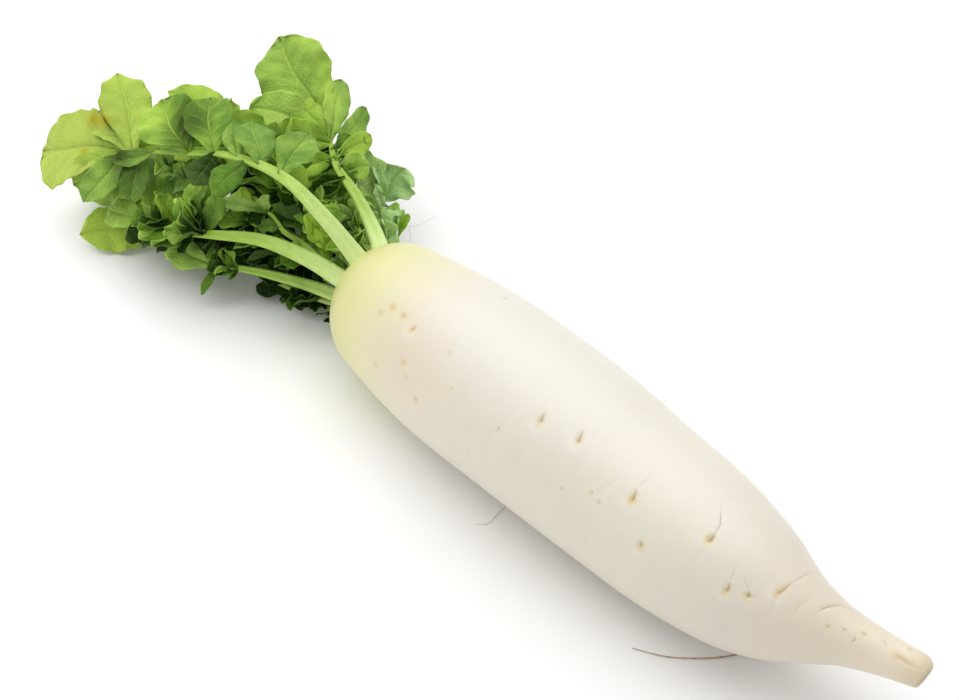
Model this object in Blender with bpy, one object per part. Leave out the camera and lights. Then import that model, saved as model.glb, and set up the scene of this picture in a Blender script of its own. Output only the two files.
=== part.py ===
"""A daikon radish as pulled: one long white root lying on its belly, with its tuft of lobed leaves.

The root is one solid. Each leaf is one solid too: a fleshy stalk that runs on as the midrib, with its
lobes grown from the midrib on both sides and a larger lobe at the end. The leaves fan out from the
crown in the -X direction, the tail points along +X, and Z is up. The origin is on the table, in the
middle of the flat that the root rests on. Lengths in this file are in millimetres and are turned into
metres where a mesh is made.
"""

import math
import random
from collections import namedtuple

import bpy
import bmesh
from mathutils import Matrix, Vector
from mathutils.bvhtree import BVHTree

MM = 0.001
GAP = 0.4  # clear space between two pieces that would touch

# --- The root ---------------------------------------------------------------------------------------
CROWN_CENTRE_X = -87.0  # centre of the rounded crown
CROWN_RADIUS = 33.0
CROWN_BLUNTNESS = 2.25  # 2 is a true round; more is flatter where the leaves grow
TAIL_CAP = 5.0  # length of the rounded end of the tail
ROOT_COLOUR = (0.86, 0.82, 0.72)
ROOT_SIDES = 38
CROWN_RINGS = 6
BODY_RINGS = 30
TAIL_RINGS = 3

# Radius of the root along its length.
PROFILE = [
    (-92, 32.6),
    (-68, 36.3),
    (-40, 38.8),
    (0, 39.0),
    (30, 38.3),
    (60, 36.5),
    (90, 34.6),
    (112, 31.6),
    (132, 27.2),
    (148, 21.2),
    (158, 16.6),
    (170, 12.0),
    (185, 8.9),
    (201, 6.9),
]
# Where the middle of the root runs, as (x, y): the tail bends off to one side.
SIDEWAYS = [(-120, 0.5), (-60, -0.5), (0, 0.0), (90, 0.8), (130, 0.4), (150, 2.4), (180, 11.0), (207, 18.5)]
# The same, as (x, z): the belly lies along the table and the tail is carried clear of it.
HEIGHT = [
    (-120, 37.0),
    (-92, 37.2),
    (-40, 38.3),
    (0, 38.5),
    (30, 37.8),
    (60, 36.0),
    (100, 35.2),
    (207, 36.0),
]

# --- The leaves -------------------------------------------------------------------------------------
BLADE_THICKNESS = 0.8
STALK_SIDES = 8  # of the stout stalks; the fine ones have two fewer
STALK_RINGS = 11
LEAST_HEIGHT = 0.6  # leaves stay this far above the table
WIDEST = 0.58  # where along its length a lobe is widest
NECK = 0.18  # width of a lobe where it leaves the midrib, as a share of the widest
SCALLOP_DEPTH = 0.08  # of the cut edge, as a share of the half-width

# A lobe runs from base to tip, turns its upper face to facing, and bends by bend degrees on the way.
Lobe = namedtuple("Lobe", "base tip facing width bend fold ruffle waves phase")
# A hand-placed lobe: where along the midrib it grows, its tip, its width, facing, and bend in degrees.
Placed = namedtuple("Placed", "along tip width facing bend")
# A leaf: its name and colour, the points its midrib passes, which way its upper face looks, the half-width
# of its stalk and how fast it thins, its hand-placed lobes, and how many pairs of lobes follow by rule: where
# the first pair grows, the length of the last, their lift and bend in degrees, the end lobe, and the seed.
Leaf = namedtuple("Leaf", "name colour route facing stalk taper placed pairs first length lift bend end seed")

UP = (0.0, 0.0, 1.0)
VIEWER = (0.45, -0.4, 0.8)  # towards someone who stands at the tail and looks down

LEAVES = [
    Leaf(
        name="leaf_arched",
        colour=(0.34, 0.50, 0.10),
        route=[
            (-104, 2, 42),
            (-120, 1, 50),
            (-134, -6, 69),
            (-156, -12, 83),
            (-184, -19, 83),
            (-215, -26, 71),
            (-262, -35, 50),
        ],
        facing=(0.15, -0.15, 1),
        stalk=5.6,
        taper=2.0,
        placed=[
            Placed(0.93, (-291, -11, 69), 26, VIEWER, 14),
            Placed(0.70, (-243, -20, 82), 31, VIEWER, 16),
            Placed(0.61, (-220, -6, 90), 25, VIEWER, 34),
            Placed(0.52, (-199, -9, 89), 12, VIEWER, 10),
            Placed(0.45, (-192, -3, 90), 20, (0.6, -0.1, 0.8), 30),
            Placed(0.39, (-172, 14, 87), 19, (0.5, -0.2, 0.9), 30),
            Placed(0.84, (-246, -47, 58), 9, VIEWER, 0),
            Placed(0.88, (-232, -49, 44), 15, (0.6, -0.6, 0.5), 30),
            Placed(0.60, (-193, -37, 70), 16, (0.3, -0.7, 0.6), 40),
            Placed(0.49, (-176, -38, 74), 15, (0.3, -0.6, 0.8), 50),
            Placed(0.96, (-252, -62, 38), 17, (0.4, -0.7, 0.6), 30),
            Placed(0.97, (-272, -55, 33), 22, VIEWER, 20),
            Placed(0.93, (-289, -22, 55), 26, VIEWER, 14),
            Placed(0.90, (-259, -53, 30), 22, (0.3, -0.5, 0.8), 20),
        ],
        pairs=0,
        first=0.5,
        length=26,
        lift=0,
        bend=20,
        end=Placed(1.0, (-305, -50, 35), 42, (0.44, -0.37, 0.82), 20),
        seed=3,
    ),
    Leaf(
        name="leaf_tall",
        colour=(0.28, 0.45, 0.09),
        route=[
            (-104, 9, 42),
            (-116, 12, 48),
            (-133, 19, 53),
            (-152, 25, 57),
            (-175, 32, 57),
            (-195, 44, 54),
            (-213, 54, 54),
        ],
        facing=VIEWER,
        stalk=5.0,
        taper=1.6,
        placed=[
            Placed(0.84, (-220, 71, 65), 15, (0.8, -0.2, 0.6), 14),
            Placed(0.76, (-203, 73, 56), 12, (0.9, 0.0, 0.5), 14),
            Placed(0.70, (-184, 60, 57), 12, (0.9, 0.1, 0.4), 20),
            Placed(0.62, (-168, 46, 55), 15, (0.7, -0.3, 0.6), 24),
            Placed(0.86, (-224, 46, 62), 16, VIEWER, 20),
            Placed(0.94, (-236, 29, 58), 24, VIEWER, 30),
            Placed(0.82, (-211, 27, 57), 20, VIEWER, 40),
            Placed(0.69, (-189, 18, 55), 14, VIEWER, 30),
        ],
        pairs=0,
        first=0.5,
        length=24,
        lift=0,
        bend=20,
        end=Placed(1.0, (-253, 59, 78), 38, VIEWER, 16),
        seed=5,
    ),
    Leaf(
        name="leaf_front",
        colour=(0.22, 0.38, 0.07),
        route=[
            (-104, -4, 38),
            (-122, -7, 41),
            (-140, -14, 47),
            (-162, -23, 49),
            (-188, -33, 42),
            (-213, -39, 32),
            (-232, -44, 27),
        ],
        facing=(0.1, -0.5, 0.9),
        stalk=4.9,
        taper=1.05,
        placed=[
            Placed(0.95, (-250, -22, 46), 15, VIEWER, 40),
            Placed(0.86, (-232, -18, 52), 15, VIEWER, 50),
            Placed(0.76, (-212, -20, 54), 14, VIEWER, 50),
            Placed(0.68, (-196, -22, 56), 11, VIEWER, 40),
        ],
        pairs=3,
        first=0.76,
        length=18,
        lift=10,
        bend=34,
        end=Placed(1.0, (-254, -48, 26), 16, VIEWER, 36),
        seed=11,
    ),
    Leaf(
        name="leaf_front_low",
        colour=(0.22, 0.38, 0.07),
        route=[
            (-104, -2, 28),
            (-121, -4, 27),
            (-140, -9, 26),
            (-160, -17, 25),
            (-180, -25, 22),
            (-198, -31, 17),
        ],
        facing=(0.1, -0.6, 0.8),
        stalk=4.0,
        taper=0.9,
        placed=[Placed(0.93, (-189, -42, 9), 5, (0.3, -0.7, 0.6), 20)],
        pairs=2,
        first=0.84,
        length=10,
        lift=-5,
        bend=20,
        end=Placed(1.0, (-222, -40, 19), 18, VIEWER, 16),
        seed=17,
    ),
    Leaf(
        name="leaf_far",
        colour=(0.30, 0.42, 0.06),
        route=[
            (-104, 2, 24),
            (-119, 3, 21),
            (-145, -2, 13),
            (-185, -10, 8),
            (-225, -17, 8),
            (-262, -22, 10),
        ],
        facing=UP,
        stalk=3.6,
        taper=1.1,
        placed=[
            Placed(0.90, (-265, -60, 8), 25, (0.35, -0.4, 0.85), 8),
            Placed(0.86, (-258, -38, 17), 14, VIEWER, 14),
            Placed(0.80, (-247, -42, 12), 13, VIEWER, 14),
            Placed(0.92, (-272, 8, 18), 22, UP, 14),
        ],
        pairs=4,
        first=0.35,
        length=22,
        lift=8,
        bend=20,
        end=Placed(1.0, (-300, -28, 10), 28, UP, 14),
        seed=23,
    ),
    Leaf(
        name="leaf_curled",
        colour=(0.13, 0.27, 0.06),
        route=[
            (-104, 12, 36),
            (-116, 16, 37),
            (-134, 30, 35),
            (-151, 41, 30),
            (-166, 52, 26),
            (-177, 61, 22),
        ],
        facing=(0.5, 0.0, 0.8),
        stalk=3.8,
        taper=1.2,
        placed=[
            Placed(0.90, (-192, 55, 46), 20, (0.7, -0.3, 0.7), -24),
            Placed(0.80, (-157, 58, 22), 15, (0.7, -0.1, 0.6), -30),
        ],
        pairs=4,
        first=0.45,
        length=14,
        lift=8,
        bend=-24,
        end=Placed(1.0, (-173, 72, 37), 27, (0.6, -0.4, 0.7), -36),
        seed=29,
    ),
    Leaf(
        name="leaf_middle",
        colour=(0.18, 0.34, 0.07),
        route=[
            (-104, 3, 36),
            (-122, 5, 38),
            (-145, 4, 44),
            (-172, 6, 48),
            (-205, 13, 48),
            (-238, 22, 47),
        ],
        facing=UP,
        stalk=3.4,
        taper=1.1,
        placed=[
            Placed(0.95, (-264, -27, 46), 26, VIEWER, 20),
            Placed(0.90, (-251, -21, 43), 22, VIEWER, 14),
            Placed(0.85, (-240, -10, 54), 20, VIEWER, 20),
            Placed(0.82, (-227, 10, 72), 24, VIEWER, 24),
        ],
        pairs=4,
        first=0.40,
        length=25,
        lift=10,
        bend=30,
        end=Placed(1.0, (-264, -1, 68), 22, (0.1, -0.3, 0.95), 36),
        seed=37,
    ),
    Leaf(
        name="leaf_heart",
        colour=(0.20, 0.38, 0.06),
        route=[
            (-104, 0, 34),
            (-123, -1, 34),
            (-143, -6, 37),
            (-165, -10, 40),
            (-190, -15, 43),
            (-212, -18, 44),
        ],
        facing=(0.2, -0.3, 1),
        stalk=2.8,
        taper=1.1,
        placed=[],
        pairs=5,
        first=0.25,
        length=18,
        lift=16,
        bend=-24,
        end=Placed(1.0, (-232, -22, 48), 16, VIEWER, 30),
        seed=41,
    ),
    Leaf(
        name="leaf_inner",
        colour=(0.20, 0.38, 0.06),
        route=[
            (-104, 4, 29),
            (-121, 5, 29),
            (-140, 3, 30),
            (-165, -4, 31),
            (-190, -13, 30),
            (-210, -22, 27),
        ],
        facing=(0.2, -0.4, 1),
        stalk=2.6,
        taper=1.0,
        placed=[
            Placed(0.66, (-186, -19, 23), 14, VIEWER, 20),
            Placed(0.50, (-172, -14, 22), 13, VIEWER, 20),
        ],
        pairs=4,
        first=0.28,
        length=17,
        lift=12,
        bend=26,
        end=Placed(1.0, (-232, -32, 22), 16, UP, 20),
        seed=47,
    ),
    Leaf(
        name="leaf_back",
        colour=(0.12, 0.25, 0.05),
        route=[
            (-104, 9, 29),
            (-117, 13, 25),
            (-142, 22, 17),
            (-175, 34, 13),
            (-210, 46, 10),
            (-232, 54, 9),
        ],
        facing=UP,
        stalk=3.6,
        taper=1.1,
        placed=[],
        pairs=5,
        first=0.36,
        length=24,
        lift=10,
        bend=20,
        end=Placed(1.0, (-266, 66, 6), 32, UP, 14),
        seed=31,
    ),
    Leaf(
        name="leaf_under",
        colour=(0.09, 0.20, 0.04),
        route=[(-104, -1, 22), (-118, 0, 16), (-134, 0, 10), (-150, -2, 7), (-165, -7, 6)],
        facing=UP,
        stalk=3.0,
        taper=1.0,
        placed=[],
        pairs=5,
        first=0.34,
        length=12,
        lift=4,
        bend=14,
        end=Placed(1.0, (-184, -14, 5), 13, UP, 10),
        seed=43,
    ),
]

# Towards the side that the tuft shows, the stalks that stay bare on that side and up to what share of their
# length, and how far over the table the small lobes may reach, seen from there: (x, y) in front and behind.
SHOWN = Vector((0.65, -0.44, 0.62))
BARE = {"leaf_arched": 1.0, "leaf_tall": 0.9, "leaf_front": 0.66, "leaf_front_low": 0.86}
FRONT_EDGE = [(-340, -70), (-258, -48), (-229, -31), (-202, -21), (-163, -13), (-139, -3), (-100, -3)]
BACK_EDGE = [(-380, 20), (-345, 45), (-300, 100), (-254, 107), (-222, 93), (-190, 78), (-169, 60)]

# How a lobe that would touch another leaf is bent clear: lift and roll in degrees, and size.
BENDS = [
    (0, 0, 1.0),
    (8, 0, 1.0),
    (-8, 0, 1.0),
    (16, 0, 1.0),
    (-16, 0, 1.0),
    (0, 20, 0.95),
    (0, -20, 0.95),
    (24, 0, 0.9),
    (-24, 0, 0.9),
    (12, 20, 0.85),
    (-12, -20, 0.85),
    (34, 0, 0.8),
    (-34, 0, 0.8),
    (20, 30, 0.7),
    (-20, -30, 0.7),
    (0, 0, 0.6),
]


# --- Curves -----------------------------------------------------------------------------------------
def value_at(points, x):
    """A smooth curve through (x, value) points, read at x."""
    xs = [p[0] for p in points]
    ys = [p[1] for p in points]
    x = min(max(x, xs[0]), xs[-1])
    i = max(k for k in range(len(xs) - 1) if xs[k] <= x)

    def slope(k):
        low, high = max(k - 1, 0), min(k + 1, len(xs) - 1)
        return (ys[high] - ys[low]) / (xs[high] - xs[low])

    step = xs[i + 1] - xs[i]
    t = (x - xs[i]) / step
    return (
        ys[i] * (1 + 2 * t) * (1 - t) ** 2
        + slope(i) * step * t * (1 - t) ** 2
        + ys[i + 1] * t * t * (3 - 2 * t)
        - slope(i + 1) * step * t * t * (1 - t)
    )


def route_points(route, count):
    """count points spaced evenly along a smooth curve through the route."""
    lengths = [0.0]
    for a, b in zip(route, route[1:]):
        lengths.append(lengths[-1] + (Vector(b) - Vector(a)).length)
    axes = [[(s, p[k]) for s, p in zip(lengths, route)] for k in range(3)]
    stations = [lengths[-1] * i / (count - 1) for i in range(count)]
    return [Vector([value_at(axis, s) for axis in axes]) for s in stations]


def across(direction, facing):
    """(sideways, upwards) unit vectors square to direction, with upwards as near to facing as it goes."""
    side = direction.cross(Vector(facing)).normalized()
    return side, side.cross(direction).normalized()


# --- Meshes -----------------------------------------------------------------------------------------
def new_object(name, points, faces, material):
    """An object made of points in millimetres and faces."""
    mesh = bpy.data.meshes.new(name)
    mesh.from_pydata([Vector(p) * MM for p in points], [], faces)
    mesh.materials.append(material)
    obj = bpy.data.objects.new(name, mesh)
    bpy.context.scene.collection.objects.link(obj)
    return obj


def loft(rings, closed_ends=True):
    """(points, faces) of a tube through rings of the same count of points."""
    sides = len(rings[0])
    points = [p for ring in rings for p in ring]
    faces = []
    for i in range(len(rings) - 1):
        for k in range(sides):
            a, b = i * sides + k, i * sides + (k + 1) % sides
            faces.append((a, a + sides, b + sides))
            faces.append((a, b + sides, b))
    if closed_ends:
        last = (len(rings) - 1) * sides
        faces.append(tuple(range(sides)))
        faces.append(tuple(last + k for k in reversed(range(sides))))
    return points, faces


# --- The root ---------------------------------------------------------------------------------------
def root_stations(grow=0.0):
    """(x, radius) of each ring from the crown to the tail, closer together where the outline turns."""
    stations = []
    crown = CROWN_RADIUS + grow
    for i in range(1, CROWN_RINGS + 1):
        reach = math.sin(0.5 * math.pi * i / (CROWN_RINGS + 0.8))
        along = (1 - reach**CROWN_BLUNTNESS) ** (1 / CROWN_BLUNTNESS)
        stations.append((CROWN_CENTRE_X - crown * along, crown * reach))
    first, last = PROFILE[0][0] + 6, PROFILE[-1][0]
    for i in range(BODY_RINGS + 1):
        x = first + (last - first) * i / BODY_RINGS
        stations.append((x, value_at(PROFILE, x) + grow))
    end = PROFILE[-1][1] + grow
    for i in range(1, TAIL_RINGS + 1):
        turn = 0.5 * math.pi * i / (TAIL_RINGS + 0.7)
        stations.append((last + (TAIL_CAP + grow) * math.sin(turn), end * math.cos(turn) ** 0.8))
    return stations


def lumps(x, turn):
    """The root isn't turned on a lathe: this scales its radius a little with place and angle."""
    return 1 + 0.010 * math.sin(2 * turn + x / 60) + 0.006 * math.sin(3 * turn - x / 37 + 1)


def root_ring(x, radius):
    centre = Vector((x, value_at(SIDEWAYS, x), value_at(HEIGHT, x)))
    ahead = Vector((x + 1, value_at(SIDEWAYS, x + 1), value_at(HEIGHT, x + 1)))
    side, up = across((ahead - centre).normalized(), UP)
    ring = []
    for k in range(ROOT_SIDES):
        turn = 2 * math.pi * k / ROOT_SIDES
        reach = radius * lumps(x, turn)
        ring.append(centre + side * reach * math.cos(turn) + up * reach * math.sin(turn))
    return ring


def root_mesh(grow=0.0):
    """(points, faces) of the root, or of a slightly fatter one that the leaves are cut with."""
    return loft([root_ring(x, radius) for x, radius in root_stations(grow)])


def make_root(material):
    points, faces = root_mesh()
    root = new_object("root", points, faces, material)
    mesh = bmesh.new()
    mesh.from_mesh(root.data)
    geometry = mesh.verts[:] + mesh.edges[:] + mesh.faces[:]
    bmesh.ops.bisect_plane(mesh, geom=geometry, plane_co=(0, 0, 0), plane_no=(0, 0, -1), clear_outer=True)
    open_edges = [e for e in mesh.edges if e.is_boundary]
    bmesh.ops.edgeloop_fill(mesh, edges=open_edges)
    bmesh.ops.recalc_face_normals(mesh, faces=mesh.faces[:])
    mesh.to_mesh(root.data)
    mesh.free()
    root.data.shade_smooth()
    root.data.set_sharp_from_angle(angle=math.radians(40))
    return root


# --- The leaves -------------------------------------------------------------------------------------
def outline(u):
    """Half-width of a lobe along its length, as a share of the widest: narrow, then broad, then round."""
    if u < WIDEST:
        return NECK + (1 - NECK) * (0.5 - 0.5 * math.cos(math.pi * u / WIDEST)) ** 0.7
    return math.sqrt(max(0.0, 1 - ((u - WIDEST) / (1 - WIDEST)) ** 2))


def lobe_rows(lobe, along, sideways):
    """Rows of (point, normal) over a lobe's blade, from its base to its tip."""
    chord = lobe.tip - lobe.base
    length = chord.length
    chord.normalize()
    side, up = across(chord, lobe.facing)
    bend = math.radians(lobe.bend) or 1e-4
    radius = length / (2 * math.sin(bend / 2))
    fold = math.radians(lobe.fold)
    rows = []
    for i in range(along + 1):
        u = 0.985 * math.sin(0.5 * math.pi * i / along) ** 1.15
        turn = (u - 0.5) * bend
        middle = (
            lobe.base
            + chord * (length / 2 + radius * math.sin(turn))
            + up * radius * (math.cos(turn) - math.cos(bend / 2))
        )
        normal = chord * math.sin(turn) + up * math.cos(turn)
        half = max(0.8, lobe.width / 2 * outline(u))
        row = []
        for k in range(sideways + 1):
            v = 2 * k / sideways - 1
            hand = 1.3 if v > 0 else 0
            wave = math.sin(2 * math.pi * lobe.waves * u + lobe.phase + hand)
            cut = 1 + SCALLOP_DEPTH * abs(v) * math.cos(4 * math.pi * lobe.waves * u + lobe.phase + hand)
            rise = half * abs(v) * math.sin(fold) + lobe.ruffle * abs(v) ** 1.5 * wave * outline(u)
            row.append((middle + side * half * cut * v * math.cos(fold) + normal * rise, normal))
        rows.append(row)
    return rows


def lobe_mesh(lobe, thickness=BLADE_THICKNESS):
    """(points, faces) of a lobe as a closed thin blade, split into triangles alike on both faces."""
    along = 4 + (lobe.width > 15) + (lobe.width > 24) + (lobe.width > 30)
    sideways = 4 if lobe.width > 30 else 2
    rows = lobe_rows(lobe, along, sideways)
    across_count = sideways + 1
    half = thickness / 2
    points = [p + n * half for row in rows for p, n in row]
    points += [p - n * half for row in rows for p, n in row]
    below = len(rows) * across_count
    faces = []
    for i in range(along):
        for k in range(sideways):
            a = i * across_count + k
            b, c, d = a + 1, a + across_count + 1, a + across_count
            faces += [(a, b, c), (a, c, d)]
            faces += [(a + below, c + below, b + below), (a + below, d + below, c + below)]
    rim = list(range(across_count))
    rim += [i * across_count + sideways for i in range(1, along + 1)]
    rim += [along * across_count + k for k in range(sideways - 1, -1, -1)]
    rim += [i * across_count for i in range(along - 1, 0, -1)]
    for a, b in zip(rim, rim[1:] + rim[:1]):
        faces += [(a, b + below, b), (a, a + below, b + below)]
    return points, faces


def stalk_width(leaf, t):
    """Half-width of the stalk and midrib: broad where it clasps the crown, fine at the far end."""
    return leaf.stalk * (0.15 + 0.85 * (1 - t) ** leaf.taper) + 0.2


def stalk_mesh(leaf, grow=0.0):
    middle = route_points(leaf.route, STALK_RINGS)
    sides = STALK_SIDES if leaf.stalk > 4 else STALK_SIDES - 2
    rings = []
    for i, centre in enumerate(middle):
        ahead = middle[min(i + 1, STALK_RINGS - 1)] - middle[max(i - 1, 0)]
        side, up = across(ahead.normalized(), leaf.facing)
        half = stalk_width(leaf, i / (STALK_RINGS - 1)) + grow
        ring = []
        for k in range(sides):
            turn = 2 * math.pi * k / sides
            depth = 0.55 if math.sin(turn) > 0 else 0.85
            ring.append(centre + side * half * math.cos(turn) + up * half * depth * math.sin(turn))
        rings.append(ring)
    return loft(rings)


def midrib_at(leaf, t):
    """(point, direction, sideways, upwards) of the midrib at the share t of its length."""
    middle = route_points(leaf.route, STALK_RINGS)
    last = STALK_RINGS - 1
    i = min(int(t * last), last - 1)
    point = middle[i].lerp(middle[i + 1], t * last - i)
    direction = (middle[i + 1] - middle[i]).normalized()
    return point, direction, *across(direction, leaf.facing)


def lobes_of(leaf):
    """The lobes that the leaf would have if nothing were in its way, the end one first."""
    draw = random.Random(leaf.seed)
    lobes = []
    for placed in [leaf.end, *leaf.placed]:
        base = midrib_at(leaf, min(placed.along, 0.97))[0]
        waves, ruffle = 1.5 + draw.random(), 0.05 * placed.width
        tip, phase = Vector(placed.tip), draw.uniform(0, 2 * math.pi)
        lobes.append(Lobe(base, tip, placed.facing, placed.width, placed.bend, 10, ruffle, waves, phase))
    for i in range(leaf.pairs):
        share = i / max(leaf.pairs - 1, 1)
        for hand in (-1, 1):
            t = leaf.first + (0.92 - leaf.first) * share + draw.uniform(-0.02, 0.02)
            point, direction, side, up = midrib_at(leaf, t)
            sweep = math.radians(25 + 25 * share + draw.uniform(-8, 8))
            lift = math.radians(leaf.lift + draw.uniform(-14, 14))
            flat = side * hand * math.cos(sweep) + direction * math.sin(sweep)
            outward = flat * math.cos(lift) + up * math.sin(lift)
            length = leaf.length * (0.6 + 0.4 * share) * draw.uniform(0.85, 1.15)
            width = length * draw.uniform(0.7, 0.9)
            bend = leaf.bend + draw.uniform(-8, 8)
            phase = draw.uniform(0, 2 * math.pi)
            lobes.append(
                Lobe(point, point + outward * length, up, width, bend, 12, 0.06 * width, 1.5, phase)
            )
    return lobes


def bent(lobe, lift, roll, size):
    """The lobe turned up by lift degrees, rolled about its own length, and made smaller."""
    chord = lobe.tip - lobe.base
    side, up = across(chord.normalized(), lobe.facing)
    chord = Matrix.Rotation(math.radians(lift), 3, side) @ chord * size
    facing = Matrix.Rotation(math.radians(roll), 3, chord) @ up
    return lobe._replace(tip=lobe.base + chord, facing=facing, width=lobe.width * size)


def tree_of(mesh):
    points, faces = mesh
    return BVHTree.FromPolygons(points, faces)


def fits(lobe, others):
    """Whether the lobe, with room round it, is clear of the other leaves, the root and the table."""
    reach = (lobe.tip - lobe.base).normalized() * GAP
    roomy = lobe._replace(tip=lobe.tip + reach, width=lobe.width + 2 * GAP)
    mesh = lobe_mesh(roomy, BLADE_THICKNESS + 2 * GAP)
    if min(p.z for p in mesh[0]) < LEAST_HEIGHT:
        return False
    tree = tree_of(mesh)
    return not any(tree.overlap(other) for other in others)


def bare_stalks(leaves, own):
    """The bare parts of the stalks of all the leaves but one's own."""
    trees = []
    for leaf in leaves:
        if leaf.name in BARE and leaf.name != own:
            points, faces = stalk_mesh(leaf, GAP)
            end = int(len(points) * BARE[leaf.name])
            trees.append(tree_of((points, [face for face in faces if max(face) < end])))
    return trees


def straggles(lobe, stalks):
    """Whether the lobe hides a bare stalk or reaches past the tuft's edges, on the side that it shows."""
    for point in lobe_mesh(lobe)[0]:
        if any(tree.ray_cast(point, -SHOWN)[0] for tree in stalks):
            return True
        seen = point - SHOWN * (point.z / SHOWN.z)
        if not value_at(FRONT_EDGE, seen.x) < seen.y < value_at(BACK_EDGE, seen.x):
            return True
    return False


def grown_lobes(leaves):
    """Each leaf's lobes after every one that would touch another leaf is bent clear or left out."""
    root = tree_of(root_mesh(GAP))
    stalks = {leaf.name: tree_of(stalk_mesh(leaf, GAP)) for leaf in leaves}
    grown = {leaf.name: [] for leaf in leaves}
    trees = {leaf.name: [] for leaf in leaves}
    for leaf in leaves:
        others = [root]
        for other in leaves:
            if other is not leaf:
                others += [stalks[other.name], *trees[other.name]]
        bare = bare_stalks(leaves, leaf.name)
        for index, lobe in enumerate(lobes_of(leaf)):
            by_hand = index <= len(leaf.placed)
            for lift, roll, size in BENDS:
                tried = bent(lobe, lift, roll, size)
                if fits(tried, others) and (by_hand or not straggles(tried, bare)):
                    grown[leaf.name].append(tried)
                    trees[leaf.name].append(tree_of(lobe_mesh(tried)))
                    break
    return grown


def make_leaf(leaf, lobes, material):
    """One solid: the stalk and its lobes joined, cut clear of the crown."""
    obj = new_object(leaf.name, *stalk_mesh(leaf), material)
    blades = bpy.data.collections.new(leaf.name + "_lobes")
    bpy.context.scene.collection.children.link(blades)
    for lobe in lobes:
        blade = new_object(leaf.name + "_lobe", *lobe_mesh(lobe), material)
        bpy.context.scene.collection.objects.unlink(blade)
        blades.objects.link(blade)
    join = obj.modifiers.new("join", "BOOLEAN")
    join.operation = "UNION"
    join.operand_type = "COLLECTION"
    join.collection = blades
    crown = new_object("crown_cutter", *root_mesh(GAP), material)
    cut = obj.modifiers.new("cut", "BOOLEAN")
    cut.operation = "DIFFERENCE"
    cut.object = crown
    bpy.context.view_layer.update()
    graph = bpy.context.evaluated_depsgraph_get()
    joined = bpy.data.meshes.new_from_object(obj.evaluated_get(graph))
    obj.modifiers.clear()
    obj.data = joined
    for helper in [*blades.objects, crown]:
        bpy.data.objects.remove(helper)
    bpy.data.collections.remove(blades)
    mesh = bmesh.new()
    mesh.from_mesh(joined)
    bmesh.ops.dissolve_limit(mesh, angle_limit=0.05, verts=mesh.verts[:], edges=mesh.edges[:])
    bmesh.ops.triangulate(mesh, faces=mesh.faces[:])
    mesh.to_mesh(joined)
    mesh.free()
    joined.shade_smooth()
    joined.set_sharp_from_angle(angle=math.radians(50))
    return obj


# --- The whole --------------------------------------------------------------------------------------
def new_material(name, colour, roughness):
    material = bpy.data.materials.new(name)
    material.use_nodes = True
    surface = material.node_tree.nodes["Principled BSDF"]
    surface.inputs["Base Color"].default_value = (*colour, 1.0)
    surface.inputs["Roughness"].default_value = roughness
    surface.inputs["Metallic"].default_value = 0.0
    return material


def main():
    for obj in list(bpy.data.objects):
        bpy.data.objects.remove(obj)
    make_root(new_material("root", ROOT_COLOUR, 0.45))
    grown = grown_lobes(LEAVES)
    for leaf in LEAVES:
        make_leaf(leaf, grown[leaf.name], new_material(leaf.name, leaf.colour, 0.55))


main()
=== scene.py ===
"""Dresses the daikon radish: its skin with scars and creases, its leaves, its rootlets, and the stage.

Every shape repeats the form of the solid it stands for, at a finer size, and lies in the same frame:
leaves towards -X, tail along +X, Z up. Lengths in the tables are in millimetres.
"""

import math
import random
from collections import namedtuple

import bpy
import numpy as np
from bpy.props import FloatProperty, FloatVectorProperty, PointerProperty
from bpy.types import Operator, Panel, PropertyGroup
from mathutils import Matrix, Vector
from mathutils.bvhtree import BVHTree


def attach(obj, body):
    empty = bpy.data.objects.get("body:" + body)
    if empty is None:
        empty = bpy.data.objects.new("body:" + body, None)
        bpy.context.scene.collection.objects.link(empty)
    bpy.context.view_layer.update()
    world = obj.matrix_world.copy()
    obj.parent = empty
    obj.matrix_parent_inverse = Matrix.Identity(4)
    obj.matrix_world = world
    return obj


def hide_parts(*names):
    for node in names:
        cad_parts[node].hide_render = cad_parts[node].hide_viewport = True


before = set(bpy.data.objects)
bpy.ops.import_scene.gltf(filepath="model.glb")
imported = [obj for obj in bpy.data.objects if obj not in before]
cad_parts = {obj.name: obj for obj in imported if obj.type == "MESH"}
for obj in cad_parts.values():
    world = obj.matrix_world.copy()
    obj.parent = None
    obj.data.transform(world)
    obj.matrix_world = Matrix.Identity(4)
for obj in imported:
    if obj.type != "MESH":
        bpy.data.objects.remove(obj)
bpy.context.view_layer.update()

bl_info = {
    "name": "Daikon Radish",
    "version": (1, 0, 0),
    "blender": (4, 5, 0),
    "location": "3D View > Sidebar > Daikon",
    "description": "A white radish with its leaves, rootlets and stage",
    "category": "Object",
}

MM = 0.001
PER_METRE = 1000.0
GAP = 0.4  # clear space between two pieces that would touch

# --- The root ---------------------------------------------------------------------------------------
CROWN_CENTRE_X = -87.0
CROWN_RADIUS = 33.0
CROWN_BLUNTNESS = 2.25  # 2 is a true round; more is flatter where the leaves grow
TAIL_CAP = 5.0
ROOT_AROUND = 200  # cells around the root and along it
ROOT_ALONG = 480
COARSE_SIDES = 38  # of the plain root that the leaves are kept clear of
COARSE_CROWN = 6
COARSE_BODY = 30
COARSE_TAIL = 3

# Radius of the root along its length.
PROFILE = [
    (-92, 32.6), (-68, 36.3), (-40, 38.8), (0, 39.0), (30, 38.3), (60, 36.5), (90, 34.6), (112, 31.6),
    (132, 27.2), (148, 21.2), (158, 16.6), (170, 12.0), (185, 8.9), (201, 6.9),
]
# Where the middle of the root runs, as (x, y): the tail bends off to one side.
SIDEWAYS = [(-120, 0.5), (-60, -0.5), (0, 0.0), (90, 0.8), (130, 0.4), (150, 2.4), (180, 11.0), (207, 18.5)]
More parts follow.
